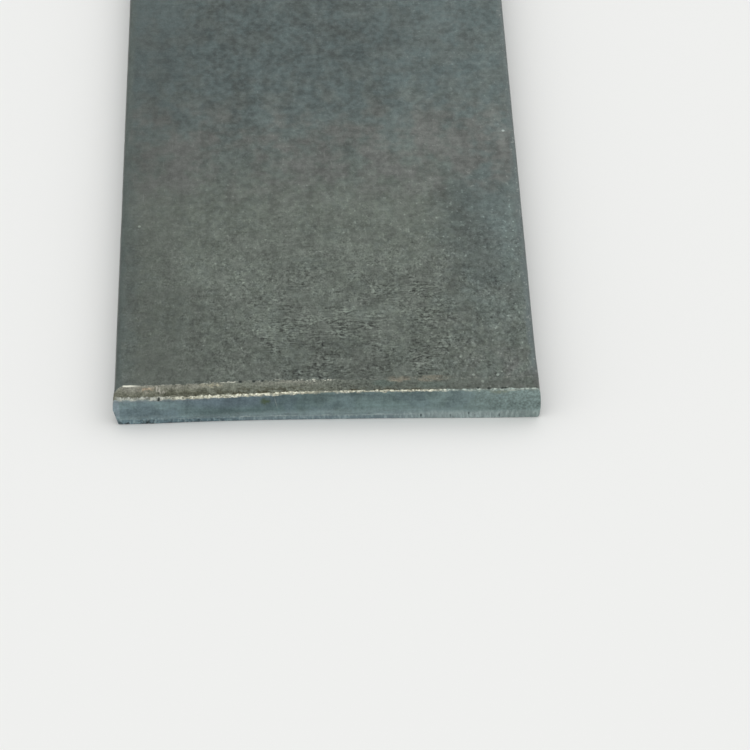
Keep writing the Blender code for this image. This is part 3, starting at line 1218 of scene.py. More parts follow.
@dataclass(frozen=True)
class Fracture:
    """The lower band of the cut, torn off: upright streaks, dark in the left half and pale in the right."""

    left_tone: Colour = (0.218, 0.308, 0.342)
    middle_tone: Colour = (0.288, 0.366, 0.392)
    right_tone: Colour = (0.385, 0.455, 0.455)
    end_tone: Colour = (0.320, 0.385, 0.375)
    dark_tone: Colour = (0.100, 0.135, 0.150)
    black_tone: Colour = (0.035, 0.042, 0.042)
    pale_tone: Colour = (0.460, 0.530, 0.525)
    tick_tone: Colour = (0.050, 0.070, 0.074)
    roughness: float = 0.52
    border_height: float = 0.92
    border_height_right: float = 1.20
    pale_edge_below: float = 0.08
    pale_edge_reach: float = 0.26
    ticks: tuple[Spot, ...] = (
        Spot(13.2, 0.55, 0.15, 0.42),
        Spot(17.3, 0.40, 0.15, 0.42),
        Spot(20.8, 0.42, 0.15, 0.42),
        Spot(19.9, 0.90, 0.15, 0.42),
        Spot(24.2, 0.50, 0.15, 0.42),
    )
    ragged_grain: Grain = Grain(0.75, (1.4, 1.0, 4.0), roughness=0.6, shift=8.1)
    streak_grain: Grain = Grain(0.42, (1.0, 1.0, 3.5), roughness=0.6, shift=5.5)
    blotch_grain: Grain = Grain(0.7, (1.3, 1.0, 1.2), roughness=0.6, shift=6.6)
    worn_grain: Grain = Grain(0.9, (1.6, 1.0, 1.0), roughness=0.6, shift=17.9)

    def where(self, bench: Bench, site: Site) -> Socket:
        """Say where the finish shows on the cut.

        Args:
            bench: The material's nodes.
            site: Where on the bar it is asked for.

        Returns:
            Its share, from 0 to 1.
        """
        ragged = bench.sway(site.place, self.ragged_grain)
        swing = bench.ramp(site.across, -12.0, -4.0, 0.24, 0.12)
        line = bench.sum("MULTIPLY_ADD", ragged, swing, site.height)
        below = bench.sum("SUBTRACT", self.border(bench, site), line)
        soft = bench.ramp(site.across, 2.0, 16.0, 0.14, 0.42)
        return bench.ramp(bench.sum("DIVIDE", below, soft), -1.0, 1.0)

    def border(self, bench: Bench, site: Site) -> Socket:
        """Say how high the band reaches.

        Args:
            bench: The material's nodes.
            site: Where on the bar it is asked for.

        Returns:
            The height in millimetres.
        """
        return bench.ramp(site.across, 2.0, 18.0, self.border_height, self.border_height_right)

    def paint(self, bench: Bench, site: Site) -> Coat:
        """Lay the finish out.

        Args:
            bench: The material's nodes.
            site: Where on the bar it is painted.

        Returns:
            The finish.
        """
        across = site.across
        streak = bench.sway(site.place, self.streak_grain)
        blotch = bench.grain(site.place, self.blotch_grain)
        tone = bench.mix(bench.ramp(across, -18.0, -8.0), self.left_tone, self.middle_tone)
        tone = bench.mix(bench.ramp(across, 4.0, 18.0), tone, self.right_tone)
        tone = bench.mix(bench.ramp(across, 22.0, 27.0), tone, self.end_tone)
        low = bench.ramp(site.height, 0.95, 0.30, 0.35, 1.0)
        dark = bench.product(bench.ramp(blotch, 0.44, 0.64), bench.ramp(across, -17.0, -8.0, 0.85, 0.15), low)
        tone = bench.mix(dark, tone, self.dark_tone)
        black = bench.product(dark, bench.span(across, -29.0, -24.5, 2.0), bench.ramp(site.height, 0.8, 0.3))
        tone = bench.mix(black, tone, self.black_tone)
        pale = bench.product(bench.ramp(streak, 0.1, 0.9), bench.ramp(across, -20.0, 12.0, 0.30, 0.35))
        tone = bench.mix(pale, tone, self.pale_tone)
        worn = bench.sway(site.place, self.worn_grain)
        # Painted highlight: a pale line just under the torn band's upper edge, where the burnished cut turns
        # into it.
        pale_edge = self.border_height - self.pale_edge_below
        wavy = bench.sum("MULTIPLY_ADD", worn, 0.10, site.height)
        edge = bench.product(
            bench.ridge(wavy, pale_edge, self.pale_edge_reach),
            bench.ramp(across, -27.0, -12.0, 0.35, 1.0),
            bench.ramp(across, 8.0, 16.0, 1.0, 0.0),
            bench.ramp(worn, 0.8, -0.5, 0.35, 1.0),
        )
        tone = bench.mix(edge, tone, self.pale_tone)
        ticks = bench.spots(across, site.height, self.ticks)
        ticks = bench.product(ticks, bench.ramp(blotch, 0.40, 0.58, 0.35, 0.9))
        tone = bench.mix(ticks, tone, self.tick_tone)
        relief = bench.total(0.0, (streak, 0.02), (blotch, 0.03))
        return Coat(bench.shade(tone, bench.total(1.0, (streak, 0.16))), self.roughness, relief)


@dataclass(frozen=True)
class BurrLine:
    """The burr along the cut's upper edge: fresh-cut metal, paler than the skin, under a painted highlight
    that makes it a bright broken line; cream in the middle, grey-green at both ends.
    """

    # Partly the fresh metal's own colour, partly painted highlight: these tones are far lighter than the cut
    # below them.
    cream_tone: Colour = (0.52, 0.515, 0.405)
    bright_tone: Colour = (0.77, 0.77, 0.66)
    pale_tone: Colour = (0.385, 0.405, 0.370)
    far_tone: Colour = (0.290, 0.350, 0.322)
    roughness: float = 0.34
    wobble_grain: Grain = Grain(0.6, roughness=0.6, shift=9.9)
    uneven_grain: Grain = Grain(0.9, roughness=0.6, shift=4.1)
    gaps_grain: Grain = Grain(0.5, roughness=0.6, shift=44.1)
    spark_grain: Grain = Grain(0.3, detail=1.0, shift=10.3)
    spots_grain: Grain = Grain(0.55, detail=1.0, shift=50.3)

    def where(self, bench: Bench, site: Site) -> Socket:
        """Say where the finish shows.

        Args:
            bench: The material's nodes.
            site: Where on the bar it is asked for.

        Returns:
            Its share, from 0 to 1.
        """
        wobble = bench.sway(site.place, self.wobble_grain)
        centre = bench.total(0.0, (wobble, 0.07), (bench.ramp(site.across, -25.0, -22.0, -0.01, -0.03), 1.0))
        away = bench.sum("ABSOLUTE", bench.sum("SUBTRACT", site.rim, centre))
        uneven = bench.sway(site.place, self.uneven_grain)
        width = bench.most(
            bench.product(bench.span(site.across, -29.2, -22.8, 0.8), 0.32),
            bench.product(bench.span(site.across, -18.0, -3.5, 4.0), 0.29),
            bench.ramp(site.across, -4.0, 6.0, 0.25, 0.19),
            bench.product(bench.span(site.across, 13.5, 31.0, 4.0), 0.26),
        )
        width = bench.sum("MULTIPLY_ADD", uneven, 0.09, width)
        line = bench.ramp(bench.sum("SUBTRACT", away, width), -0.10, 0.08, 1.0, 0.0)
        gaps = bench.ramp(bench.grain(site.place, self.gaps_grain), 0.38, 0.50)
        kept = bench.most(gaps, bench.ramp(site.across, -3.0, 14.0, 0.45, 0.36))
        kept = bench.product(kept, bench.blend(bench.span(site.across, -1.8, 1.8, 1.4), 1.0, 0.45))
        return bench.product(line, kept, bench.ramp(site.across, -29.8, -28.9, 0.15, 1.0))

    def paint(self, bench: Bench, site: Site) -> Coat:
        """Lay the finish out.

        Args:
            bench: The material's nodes.
            site: Where on the bar it is painted.

        Returns:
            The finish.
        """
        spark = bench.grain(site.place, self.spark_grain)
        spots = bench.grain(site.place, self.spots_grain)
        tone = bench.mix(bench.ramp(site.across, -24.5, -19.0), self.pale_tone, self.cream_tone)
        tone = bench.mix(bench.ramp(site.across, 14.8, 17.2), tone, self.far_tone)
        # Painted highlight: bright broken glints along the burr, fading towards both ends.
        bright = bench.product(
            bench.ramp(spark, 0.42, 0.62),
            bench.ramp(spots, 0.36, 0.58, 0.35, 1.0),
            bench.ramp(site.across, -26.0, -17.0, 0.25, 1.0),
            bench.ramp(site.across, 14.5, 18.0, 1.0, 0.20),
        )
        tone = bench.mix(bright, tone, self.bright_tone)
        tone = bench.shade(tone, bench.ramp(spots, 0.34, 0.54, 0.62, 1.02))
        return Coat(tone, self.roughness, bench.product(spark, 0.02))


@dataclass(frozen=True)
class SawnEnd:
    """The far end's face: brighter bare metal with fine upright saw lines."""

    light_tone: Colour = (0.36, 0.39, 0.39)
    dark_tone: Colour = (0.24, 0.265, 0.265)
    roughness: float = 0.40
    lines_grain: Grain = Grain(0.22, (1.0, 1.0, 60.0), roughness=0.6, shift=2.7)
    bands_grain: Grain = Grain(2.8, (1.0, 1.0, 6.0), shift=3.4)

    def paint(self, bench: Bench, site: Site) -> Coat:
        """Lay the finish out.

        Args:
            bench: The material's nodes.
            site: Where on the bar it is painted.

        Returns:
            The finish.
        """
        lines = bench.grain(site.place, self.lines_grain)
        bands = bench.sway(site.place, self.bands_grain)
        tone = bench.mix(bench.ramp(lines, 0.35, 0.65), self.dark_tone, self.light_tone)
        tone = bench.shade(tone, bench.total(1.0, (bands, 0.10)))
        return Coat(tone, self.roughness, bench.product(lines, 0.02))


@dataclass(frozen=True)
class SteelFinish:
    """All the finishes of the bar, laid over each other as one material."""

    length: float
    end: ShearedEnd
    skin: PickledSkin = PickledSkin()
    edge: RolledEdge = RolledEdge()
    band: RollOverBand = RollOverBand()
    cut: BurnishedCut = BurnishedCut()
    fracture: Fracture = Fracture()
    # The burr along the cut's rim, with its painted highlight.
    burr: BurrLine = BurrLine()
    sawn: SawnEnd = SawnEnd()
    metallic: float = 0.95
    pit_tone: Colour = (0.022, 0.028, 0.026)
    cut_start: float = -0.02
    cut_full: float = 0.05
    sawn_start: float = 0.12
    sawn_full: float = 0.07

    def site(self, bench: Bench) -> Site:
        """Read the place that is painted, in millimetres from the sheared end and the bar's middle.

        Args:
            bench: The material's nodes.

        Returns:
            The place, as sockets.
        """
        place = bench.add("ShaderNodeTexCoord").outputs["Object"]
        parts = bench.add("ShaderNodeSeparateXYZ")
        bench.feed(parts.inputs[0], place)
        across = bench.product(parts.outputs["X"], 1 / MM)
        square = bench.sum("MULTIPLY_ADD", parts.outputs["Y"], 1 / MM, self.length / 2 / MM)
        end = self.end
        slant = bench.product(
            bench.ramp(across, end.slant_start / MM, end.slant_end / MM, 0.0, end.slant / MM),
            bench.ramp(square, 0.0, end.slant_reach / MM, 1.0, 0.0),
        )
        return Site(
            place,
            across,
            bench.sum("SUBTRACT", square, slant),
            bench.product(parts.outputs["Z"], 1 / MM),
            bench.add("ShaderNodeAttribute", attribute_name="rim").outputs["Fac"],
            bench.add("ShaderNodeAttribute", attribute_name="pit").outputs["Fac"],
        )

    def material(self) -> bpy.types.Material:
        """Make the material.

        Returns:
            The bar's steel.
        """
        steel = bpy.data.materials.new("pickled_flat_bar_steel")
        steel.use_nodes = True
        bench = Bench(steel.node_tree)
        site = self.site(bench)

        coat = self.skin.paint(bench, site)
        coat = self.edge.paint(bench, site).over(bench, coat, self.edge.where(bench, site))
        coat = self.band.paint(bench, site).over(bench, coat, self.band.where(bench, site))
        # Painted highlight along the crease behind the band.
        glints = self.band.glints(bench, site)
        coat = Coat(bench.mix(glints, coat.colour, self.band.glint_tone), coat.roughness, coat.relief)
        on_cut = bench.ramp(site.rim, self.cut_start, self.cut_full)
        coat = self.cut.paint(bench, site).over(bench, coat, on_cut)
        torn = bench.product(on_cut, self.fracture.where(bench, site))
        coat = self.fracture.paint(bench, site).over(bench, coat, torn)
        # The burr, fresh metal under a painted highlight, is laid over everything else on the rim.
        coat = self.burr.paint(bench, site).over(bench, coat, self.burr.where(bench, site))
        far = self.length / MM
        on_sawn = bench.ramp(site.along, far - self.sawn_start, far - self.sawn_full)
        coat = self.sawn.paint(bench, site).over(bench, coat, on_sawn)

        shader = steel.node_tree.nodes["Principled BSDF"]
        bench.feed(shader.inputs["Base Color"], bench.mix(site.pit, coat.colour, self.pit_tone))
        bench.feed(shader.inputs["Roughness"], coat.roughness)
        bench.feed(shader.inputs["Metallic"], self.metallic)
        bump = bench.add("ShaderNodeBump")
        bench.feed(bump.inputs["Distance"], MM)
        bench.feed(bump.inputs["Height"], coat.relief)
        bench.feed(shader.inputs["Normal"], bump.outputs["Normal"])
        return steel


@dataclass(frozen=True)
class Stretch:
    """A length of the bar, on from the stretch before it, with even rows of faces."""

    reach: float
    rows: int


@dataclass(frozen=True)
class Pit:
    """A small hole in the metal, by its place across and along the bar."""

    across: float
    along: float
    radius: float
    depth: float

    def share(self, x: float, along: float, floor: float) -> float:
        """Say how far inside the pit a place is.

        Args:
            x: The place across the bar.
            along: The distance from the cut.
            floor: How much of the radius counts as its middle.

        Returns:
            0 outside the pit, rising to 1 in its middle.
        """
        away = hypot(x - self.across, along - self.along)
        return 1 - eased(away, floor * self.radius, self.radius)


class BakeSheet:
    """Lays the bar's faces out on one square, in pieces short enough to fill it."""

    margin = 1.2 * MM
    near_reach = 8.0 * MM
    strips = 4
    near_scale = 2.2
    first_slack = 1.02
    more_slack = 1.01
    end_slope = 0.5
    face_slope = 0.999
    scales = {
        Side.UPPER: 1.15,
        Side.LOWER: 0.65,
        Side.LEFT: 0.8,
        Side.RIGHT: 0.8,
        Side.SHEARED: 2.2,
        Side.SAWN: 1.3,
    }

    def __init__(self, width: float, length: float, thickness: float, radius: float) -> None:
        """Work out where each piece of the layout goes.

        Args:
            width: The block's width.
            length: The bar's length.
            thickness: The bar's thickness.
            radius: The radius of its long corners.
        """
        self.width = width
        self.length = length
        self.thickness = thickness
        self.radius = radius
        strip = length / self.strips
        self.starts = [0.0, self.near_reach] + [strip * step for step in range(1, self.strips)]
        ends = self.starts[1:] + [length]
        girth = thickness - 2 * radius + pi * radius
        sizes = {}
        for side, across in (
            (Side.UPPER, width),
            (Side.LOWER, width),
            (Side.LEFT, girth),
            (Side.RIGHT, girth),
        ):
            for index, (start, end) in enumerate(zip(self.starts, ends)):
                sizes[side, index] = (across, end - start)
        sizes[Side.SHEARED, 0] = (width, thickness)
        sizes[Side.SAWN, 0] = (width, thickness)
        self.places = self.pack(sizes)

    def scale(self, side: Side, index: int) -> float:
        """Return how much larger than life a piece is laid out."""
        return self.near_scale if side is Side.UPPER and index == 0 else self.scales[side]

    def pack(self, sizes: dict[tuple[Side, int], tuple[float, float]]) -> dict[tuple[Side, int], Triple]:
        """Place the pieces in rows, the tallest first.

        Args:
            sizes: Each piece's real width and height.

        Returns:
            Each piece's left, bottom and scale, in shares of the square.
        """
        grown = {key: [edge * self.scale(*key) + self.margin for edge in size] for key, size in sizes.items()}
        order = sorted(grown, key=lambda key: (-grown[key][1], key[0].value, key[1]))
        sheet = self.first_slack * sqrt(sum(wide * high for wide, high in grown.values()))
        while True:
            places = {}
            left = bottom = row = 0.0
            for key in order:
                wide, high = grown[key]
                if left + wide > sheet:
                    left = 0.0
                    bottom += row
                    row = 0.0
                places[key] = (left + self.margin / 2, bottom + self.margin / 2, self.scale(*key))
                left += wide
                row = max(row, high)
            if bottom + row <= sheet:
                return {key: tuple(value / sheet for value in place) for key, place in places.items()}
            sheet *= self.more_slack

    def side_of(self, normal: Vector) -> Side:
        """Sort a face of the plain block.

        Args:
            normal: The face's direction.

        Returns:
            Its side.
        """
        if abs(normal.y) > self.end_slope:
            return Side.SHEARED if normal.y < 0 else Side.SAWN
        if abs(normal.z) > self.face_slope:
            return Side.UPPER if normal.z > 0 else Side.LOWER
        return Side.LEFT if normal.x < 0 else Side.RIGHT

    def round_the_side(self, point: Vector) -> float:
        """Measure the way round a narrow side, from the lower face to a point of it.

        Args:
            point: A point of the plain block.

        Returns:
            The length of the way.
        """
        quarter = self.radius * pi / 2
        reach = max(abs(point.x) - self.width / 2 + self.radius, 0.0)
        if point.z < self.radius:
            return self.radius * atan2(reach, self.radius - point.z)
        if point.z > self.thickness - self.radius:
            turned = self.radius * atan2(point.z - self.thickness + self.radius, reach)
            return quarter + self.thickness - 2 * self.radius + turned
        return quarter + point.z - self.radius

    def lay_out(self, mesh: bpy.types.Mesh) -> None:
        """Give the plain block's faces their places on the sheet.

        Args:
            mesh: The block, before it is worked.
        """
        layer = mesh.uv_layers.new(name="OFBake")
        corners = [0.0] * (2 * len(mesh.loops))
        for face in mesh.polygons:
            side = self.side_of(face.normal)
            along = face.center.y + self.length / 2
            capped = side in (Side.SHEARED, Side.SAWN)
            index = 0 if capped else sum(along > start for start in self.starts[1:])
            left, bottom, scale = self.places[side, index]
            for loop in face.loop_indices:
                point = mesh.vertices[mesh.loops[loop].vertex_index].co
                if side in (Side.LEFT, Side.RIGHT):
                    across = self.round_the_side(point)
                else:
                    across = point.x + self.width / 2
                up = point.z if capped else point.y + self.length / 2 - self.starts[index]
                corners[2 * loop] = left + across * scale
                corners[2 * loop + 1] = bottom + up * scale
        layer.data.foreach_set("uv", corners)


@dataclass
class FlatBar:
    """The bar itself, from its plain block to its worked and dressed surface."""

    low: Vector
    high: Vector
    corner_radius: float = 0.4 * MM
    corner_steps: int = 5
    side_bulge: float = 0.22 * MM
    columns: int = 80
    side_rows: int = 12
    fine_cuts: int = 5
    fine_reach: float = 0.5 * MM
    straight: float = 0.9
    smooth_angle: float = radians(50)
    side_sharpness: int = 24
    long_waver: Wave = Wave(0.022 * MM, 14.0 * MM, shift=1.0)
    short_waver: Wave = Wave(0.018 * MM, 1.6 * MM, shift=2.0)
    waver_reach: float = 2.0 * MM
    long_hollow: Wave = Wave(0.007 * MM, 9.0 * MM, (1.0, 1.6, 1.0), 4.0)
    short_hollow: Wave = Wave(0.004 * MM, 3.2 * MM, shift=5.0)
    pit_dark: float = 0.35
    pit_floor: float = 0.2
    pitted_depth: float = 0.3 * MM
    pitted_share: float = 0.9
    saw_wave: Wave = Wave(0.012 * MM, 0.9 * MM, (1.0, 1.0, 30.0), 3.0)
    sawn_edge_depth: float = 0.09 * MM
    sawn_edge_reach: float = 0.14 * MM
    end: ShearedEnd = ShearedEnd()
    stretches: tuple[Stretch, ...] = (
        Stretch(3.2 * MM, 26),
        Stretch(8.0 * MM, 12),
        Stretch(125.0 * MM, 78),
        Stretch(250.0 * MM, 32),
        Stretch(375.0 * MM, 32),
        Stretch(497.0 * MM, 31),
        Stretch(500.0 * MM, 8),
    )
    pits: tuple[Pit, ...] = (
        Pit(-23.5 * MM, 0.10 * MM, 0.28 * MM, 0.07 * MM),
        Pit(21.2 * MM, 0.45 * MM, 0.30 * MM, 0.05 * MM),
        Pit(22.7 * MM, 0.36 * MM, 0.34 * MM, 0.05 * MM),
        Pit(24.6 * MM, 0.36 * MM, 0.34 * MM, 0.05 * MM),
        Pit(25.0 * MM, 0.38 * MM, 0.30 * MM, 0.05 * MM),
        Pit(-12.1 * MM, 2.75 * MM, 0.44 * MM, 0.05 * MM),
        Pit(-10.2 * MM, 2.75 * MM, 0.38 * MM, 0.04 * MM),
        Pit(-9.0 * MM, 2.80 * MM, 0.32 * MM, 0.03 * MM),
        Pit(-7.4 * MM, 2.95 * MM, 0.22 * MM, 0.03 * MM),
    )

    @property
    def width(self) -> float:
        """Return the bar's width, over its bulged sides."""
        return self.high.x - self.low.x

    @property
    def length(self) -> float:
        """Return the bar's length."""
        return self.high.y - self.low.y

    @property
    def thickness(self) -> float:
        """Return the bar's thickness."""
        return self.high.z - self.low.z

    @property
    def block_width(self) -> float:
        """Return the width before the sides bulge."""
        return self.width - 2 * self.side_bulge

    def build(self) -> bpy.types.Object:
        """Model, work and dress the bar.

        Returns:
            The finished piece.
        """
        bar = self.add_block()
        self.round_corners()
        self.divide_section()
        self.divide_length()
        self.refine_cut()
        bpy.ops.object.mode_set(mode="OBJECT")
        BakeSheet(self.block_width, self.length, self.thickness, self.corner_radius).lay_out(bar.data)
        self.note_places(bar.data)
        self.work_surface(bar.data)
        bpy.ops.object.shade_smooth_by_angle(angle=self.smooth_angle)
        bar.data.materials.clear()
        bar.data.materials.append(SteelFinish(self.length, self.end).material())
        return bar

    def add_block(self) -> bpy.types.Object:
        """Add the plain block in edit mode.

        Returns:
            Its object.
        """
        bpy.ops.object.select_all(action="DESELECT")
        bpy.ops.mesh.primitive_cube_add(
            size=1.0,
            location=(self.low + self.high) / 2,
            scale=(self.block_width, self.length, self.thickness),
        )
        bar = bpy.context.object
        bar.name = "flat_bar_steel"
        bar.data.name = "flat_bar_steel"
        bpy.ops.object.transform_apply(location=True, rotation=True, scale=True)
        bar.data.uv_layers.remove(bar.data.uv_layers[0])
        bpy.ops.object.mode_set(mode="EDIT")
        bpy.ops.mesh.select_mode(type="EDGE")
        return bar

    def pick_edges(self, wanted: EdgeTest) -> None:
        """Select edges by their place and direction.

        Args:
            wanted: Told an edge's middle and its unit direction, says whether it is selected.
        """
        mesh = bpy.context.object.data
        body = bmesh.from_edit_mesh(mesh)
        for edge in body.edges:
            first, second = (corner.co for corner in edge.verts)
            edge.select_set(wanted((first + second) / 2, (second - first).normalized()))
        body.select_flush_mode()
        bmesh.update_edit_mesh(mesh)

    def bisect(self, place: Vector, direction: Vector) -> None:
        """Cut the whole mesh along a plane.

        Args:
            place: A point of the plane.
            direction: The plane's direction.
        """
        bpy.ops.mesh.select_all(action="SELECT")
        bpy.ops.mesh.bisect(plane_co=place, plane_no=direction, threshold=0.1 * ON_PLANE)

    def round_corners(self) -> None:
        """Bevel the four long edges."""
        self.pick_edges(lambda middle, way: abs(way.y) > self.straight)
        bpy.ops.mesh.bevel(
            offset=self.corner_radius,
            offset_type="OFFSET",
            segments=self.corner_steps,
            profile=0.5,
            affect="EDGES",
            clamp_overlap=False,
        )

    def divide_section(self) -> None:
        """Cut the ends through each point of their round corners, then even rows and columns."""
        body = bmesh.from_edit_mesh(bpy.context.object.data)
        across = sorted({round(corner.co.x, 8) for corner in body.verts})
        up = sorted({round(corner.co.z, 8) for corner in body.verts})
        for x in across[1:-1]:
            self.bisect(Vector((x, 0.0, 0.0)), Vector((1.0, 0.0, 0.0)))
        for z in up[1:-1]:
            self.bisect(Vector((0.0, 0.0, z)), Vector((0.0, 0.0, 1.0)))
        near = self.corner_radius
        self.pick_edges(lambda middle, way: abs(way.x) > self.straight and abs(middle.x) < near)
        bpy.ops.mesh.subdivide(number_cuts=self.columns - 1)
        centre = (self.low.z + self.high.z) / 2
        self.pick_edges(lambda middle, way: abs(way.z) > self.straight and abs(middle.z - centre) < near)
        bpy.ops.mesh.subdivide(number_cuts=self.side_rows - 1)

    def divide_length(self) -> None:
        """Cut the bar into its stretches, and each stretch into its rows."""
        for stretch in self.stretches[:-1]:
            self.bisect(Vector((0.0, self.low.y + stretch.reach, 0.0)), Vector((0.0, 1.0, 0.0)))
        start = 0.0
        for stretch in self.stretches:
            first = self.low.y + start
            last = self.low.y + stretch.reach
            self.pick_edges(lambda middle, way: abs(way.y) > self.straight and first < middle.y < last)
            bpy.ops.mesh.subdivide(number_cuts=stretch.rows - 1)
            start = stretch.reach

    def refine_cut(self) -> None:
        """Split the columns of the sheared end and of the roll-over band more finely."""
        band = self.low.y + self.stretches[0].reach + PAST_PLANE
        near = self.low.y + self.fine_reach
        top = self.high.z - PAST_PLANE

        def by_the_cut(middle: Vector, way: Vector) -> bool:
            """Say whether an edge runs across the bar, on the cut or right by it, or on the band above it."""
            return abs(way.x) > self.straight and (middle.y < near or (middle.y < band and middle.z > top))

        self.pick_edges(by_the_cut)
        bpy.ops.mesh.subdivide(number_cuts=self.fine_cuts)
        bpy.ops.mesh.select_all(action="DESELECT")
        bpy.ops.mesh.select_mode(type="FACE")
        bpy.ops.mesh.select_face_by_sides(number=4, type="GREATER")
        bpy.ops.mesh.quads_convert_to_tris(ngon_method="BEAUTY")

    def note_places(self, mesh: bpy.types.Mesh) -> None:
        """Write, for the finishes, each point's way from the cut's upper rim and how far it is in a pit.

        Args:
            mesh: The plain block, divided.
        """
        rims = []
        pitted = []
        for corner in mesh.vertices:
            along = corner.co.y - self.low.y
            on_cut = along < ON_PLANE
            rims.append((self.high.z - corner.co.z if on_cut else -along) / MM)
            near_top = corner.co.z > self.high.z - self.pitted_depth
            pitted.append(self.pit_share(corner.co) if near_top else 0.0)
        for name, values in (("rim", rims), ("pit", pitted)):
            mesh.attributes.new(name, "FLOAT", "POINT").data.foreach_set("value", values)

    def pit_share(self, point: Vector) -> float:
        """Return how far a point is in a pit, from 0 outside all to 1 at a pit's middle."""
        along = point.y - self.low.y
        return max(pit.share(point.x, along, self.pit_dark) for pit in self.pits)

    def pit_depth(self, point: Vector) -> float:
        """Return how deep the pits are at a point."""
        along = point.y - self.low.y
        return sum(pit.depth * pit.share(point.x, along, self.pit_floor) for pit in self.pits)

    def work_surface(self, mesh: bpy.types.Mesh) -> None:
        """Move the points of the plain block to the worked surface, inside the bar's box.

        Args:
            mesh: The plain block, divided.
        """
        for corner in mesh.vertices:
            worked = self.worked(corner.co.copy())
            corner.co = Vector(min(max(worked[axis], self.low[axis]), self.high[axis]) for axis in range(3))
        mesh.update()

    def worked(self, point: Vector) -> Vector:
        """Work out where a point of the plain block lies on the finished bar.

        Args:
            point: A point of the block.

        Returns:
            Its worked place.
        """
        rough = point.copy()
        along = rough.y - self.low.y
        up = (rough.z - self.low.z) / self.thickness
        half = self.block_width / 2

        bulge = self.side_bulge * (1 - (2 * up - 1) ** 2)
        point.x = rough.x * (1 + bulge / half)
        outer = (abs(rough.x) / half) ** self.side_sharpness
        waver = self.long_waver.at(rough) + self.short_waver.at(rough)
        waver *= eased(along, 0.0, self.waver_reach)
        inward = -1 if rough.x > 0 else 1
        point.x += inward * outer * (self.end.flared(rough.x, along) + waver)

        hollow = self.long_hollow.at(rough) + self.short_hollow.at(rough)
        point.z -= hollow * up
        point.z += hollow * (1 - up)

        point.z -= self.end.fall(rough.x, along) * up
        point.z -= self.pit_depth(rough) * (up > self.pitted_share)
        point.y += self.end.set_back(rough.x, along)
        if along < self.end.pull_reach:
            point.y += self.end.lean(rough.x, rough.z) * (1 - along / self.end.pull_reach)
            self.ruffle_rim(point, rough, along)
        self.nip(point)
        self.dress_sawn_end(point, rough, along)
        return point

    def ruffle_rim(self, point: Vector, rough: Vector, along: float) -> None:
        """Make the cut's upper rim a little ragged.

        Args:
            point: The point that is moved.
            rough: Its place on the plain block.
            along: Its distance from the cut.
        """
        end = self.end
        below = self.high.z - rough.z
        near = max(1 - (along + below) / end.rim_reach, 0.0)
        if near <= 0.0:
            return
        fine = ripple(rough, end.rim_fine_size, shift=7.0)
        ragged = ripple(rough, end.rim_size, shift=6.0) + end.rim_fine_share * fine
        point.z -= near * end.rim_drop * (1 + ragged)
        point.y += near * (end.rim_pull + end.rim_change * ripple(rough, end.rim_change_size, shift=8.0))

    def nip(self, point: Vector) -> None:
        """Press a point in the nipped lower left corner back to the nip's plane.

        Args:
            point: The point that is moved.
        """
        on_plane, outward = self.end.nip_plane(self.width / 2)
        from_end = point - Vector((0.0, self.low.y, self.low.z))
        past = (from_end - on_plane).dot(outward)
        if past > 0:
            point -= outward * past

    def dress_sawn_end(self, point: Vector, rough: Vector, along: float) -> None:
        """Break the sawn end's edges and give its face the saw's slight waviness.

        Args:
            point: The point that is moved.
            rough: Its place on the plain block.
            along: Its distance from the cut.
        """
        if self.length - along > ON_PLANE:
            return
        from_edge = min(self.high.z - rough.z, rough.z - self.low.z, self.block_width / 2 - abs(rough.x))
        point.y -= self.saw_wave.at(rough)
        point.y -= self.sawn_edge_depth * (1 - eased(from_edge, 0.0, self.sawn_edge_reach))


@dataclass(frozen=True)
class Lamp:
    """A broad soft lamp: its watts a square metre, how wide it looks, and its turn from straight down."""

    name: str
    strength: float
    spread: float
    turn: Triple


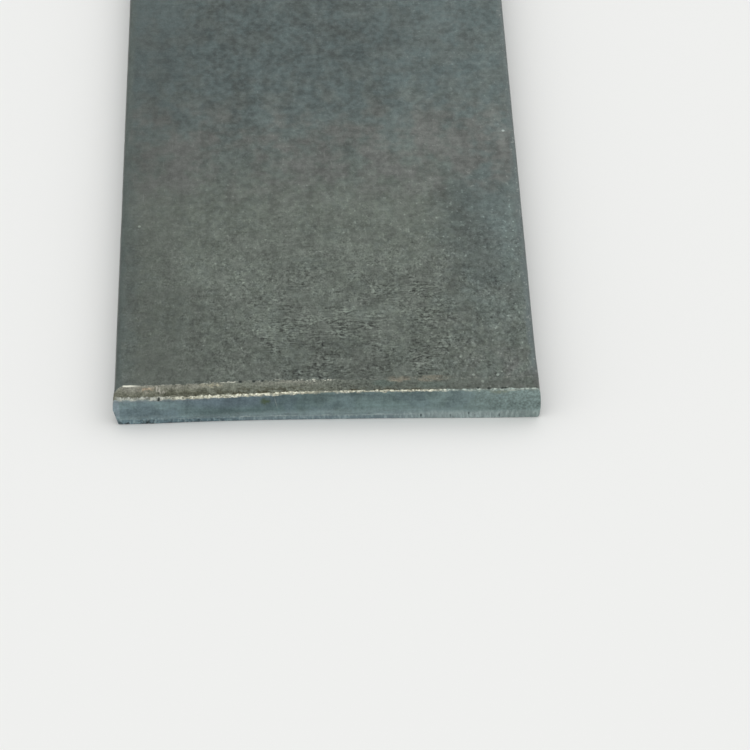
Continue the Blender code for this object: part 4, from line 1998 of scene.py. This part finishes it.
@dataclass(frozen=True)
class Studio:
    """The plain pale floor, the soft light and the camera."""

    floor_tone: Colour = (0.888, 0.894, 0.880)
    floor_size: float = 400.0
    floor_gap: float = 0.05 * MM
    sky_tone: Colour = (1.0, 1.0, 1.0)
    sky_strength: float = 0.78
    lamps: tuple[Lamp, ...] = (
        Lamp("key_light", 0.48, radians(70), (radians(35), 0.0, radians(150))),
        Lamp("fill_light", 0.38, radians(80), (radians(55), 0.0, radians(-35))),
    )
    lamp_height: float = 2.0
    camera_place: Triple = (-0.00607, -0.77174, 0.3632)
    camera_tilt: float = radians(55.75)
    camera_turn: float = radians(-1.405)
    lens: float = 217.4
    sensor: float = 36.0
    nearest_seen: float = 0.01

    def build(self) -> None:
        """Set the whole studio up."""
        self.lay_floor()
        self.light_sky()
        for lamp in self.lamps:
            self.hang(lamp)
        self.place_camera()
        bpy.context.scene.view_settings.view_transform = "Standard"

    def lay_floor(self) -> None:
        """Lay the floor a hair below the bar."""
        bpy.ops.object.select_all(action="DESELECT")
        bpy.ops.mesh.primitive_plane_add(size=self.floor_size, location=(0.0, 0.0, -self.floor_gap))
        floor = bpy.context.object
        floor.name = "floor"
        bpy.ops.object.transform_apply(location=True, rotation=True, scale=True)
        paint = bpy.data.materials.new("floor_paint")
        paint.use_nodes = True
        shader = paint.node_tree.nodes["Principled BSDF"]
        shader.inputs["Base Color"].default_value = (*self.floor_tone, 1.0)
        shader.inputs["Roughness"].default_value = 1.0
        shader.inputs["Specular IOR Level"].default_value = 0.0
        floor.data.materials.append(paint)

    def light_sky(self) -> None:
        """Light everything evenly, and show the camera and the metal a sky like the floor."""
        world = bpy.data.worlds.new("studio_sky")
        bpy.context.scene.world = world
        world.use_nodes = True
        bench = Bench(world.node_tree)
        nodes = world.node_tree.nodes
        light = nodes["Background"]
        light.inputs["Color"].default_value = (*self.sky_tone, 1.0)
        light.inputs["Strength"].default_value = self.sky_strength
        seen = bench.add("ShaderNodeBackground")
        seen.inputs["Color"].default_value = (*self.floor_tone, 1.0)
        pick = bench.add("ShaderNodeMixShader")
        path = bench.add("ShaderNodeLightPath")
        rays = [path.outputs[f"Is {kind} Ray"] for kind in ("Camera", "Glossy", "Transmission")]
        bench.feed(pick.inputs["Fac"], bench.most(*rays))
        bench.feed(pick.inputs[1], light.outputs[0])
        bench.feed(pick.inputs[2], seen.outputs[0])
        bench.feed(nodes["World Output"].inputs["Surface"], pick.outputs[0])

    def hang(self, lamp: Lamp) -> None:
        """Hang a lamp that lights all places alike, as one far away does.

        Args:
            lamp: What the lamp is like.
        """
        light = bpy.data.lights.new(lamp.name, "SUN")
        light.energy = lamp.strength
        light.angle = lamp.spread
        holder = bpy.data.objects.new(lamp.name, light)
        holder.rotation_euler = lamp.turn
        holder.location = (0.0, 0.0, self.lamp_height)
        bpy.context.scene.collection.objects.link(holder)

    def place_camera(self) -> None:
        """Stand the camera where the photograph was taken from."""
        camera = bpy.data.cameras.new("camera")
        camera.lens = self.lens
        camera.sensor_width = self.sensor
        camera.clip_start = self.nearest_seen
        camera.clip_end = self.floor_size
        holder = bpy.data.objects.new("camera", camera)
        holder.location = self.camera_place
        holder.rotation_euler = (self.camera_tilt, 0.0, self.camera_turn)
        bpy.context.scene.collection.objects.link(holder)
        bpy.context.scene.camera = holder


def main() -> None:
    """Load the frame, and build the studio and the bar."""
    logging.basicConfig(level=logging.INFO, format="%(message)s")
    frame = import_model()
    LOG.info("frame: %s", ", ".join(frame["nodes"]))

    studio = Studio()
    studio.build()
    LOG.info("studio: floor, sky, %d lamps and the camera", len(studio.lamps))

    low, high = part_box(SOLID_NODE)
    bar = FlatBar(low, high).build()
    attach(bar, BODY)
    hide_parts(SOLID_NODE)
    faces = len(bar.data.polygons)
    LOG.info("%s: %d faces, %d points", bar.name, faces, len(bar.data.vertices))


if __name__ == "__main__":
    main()
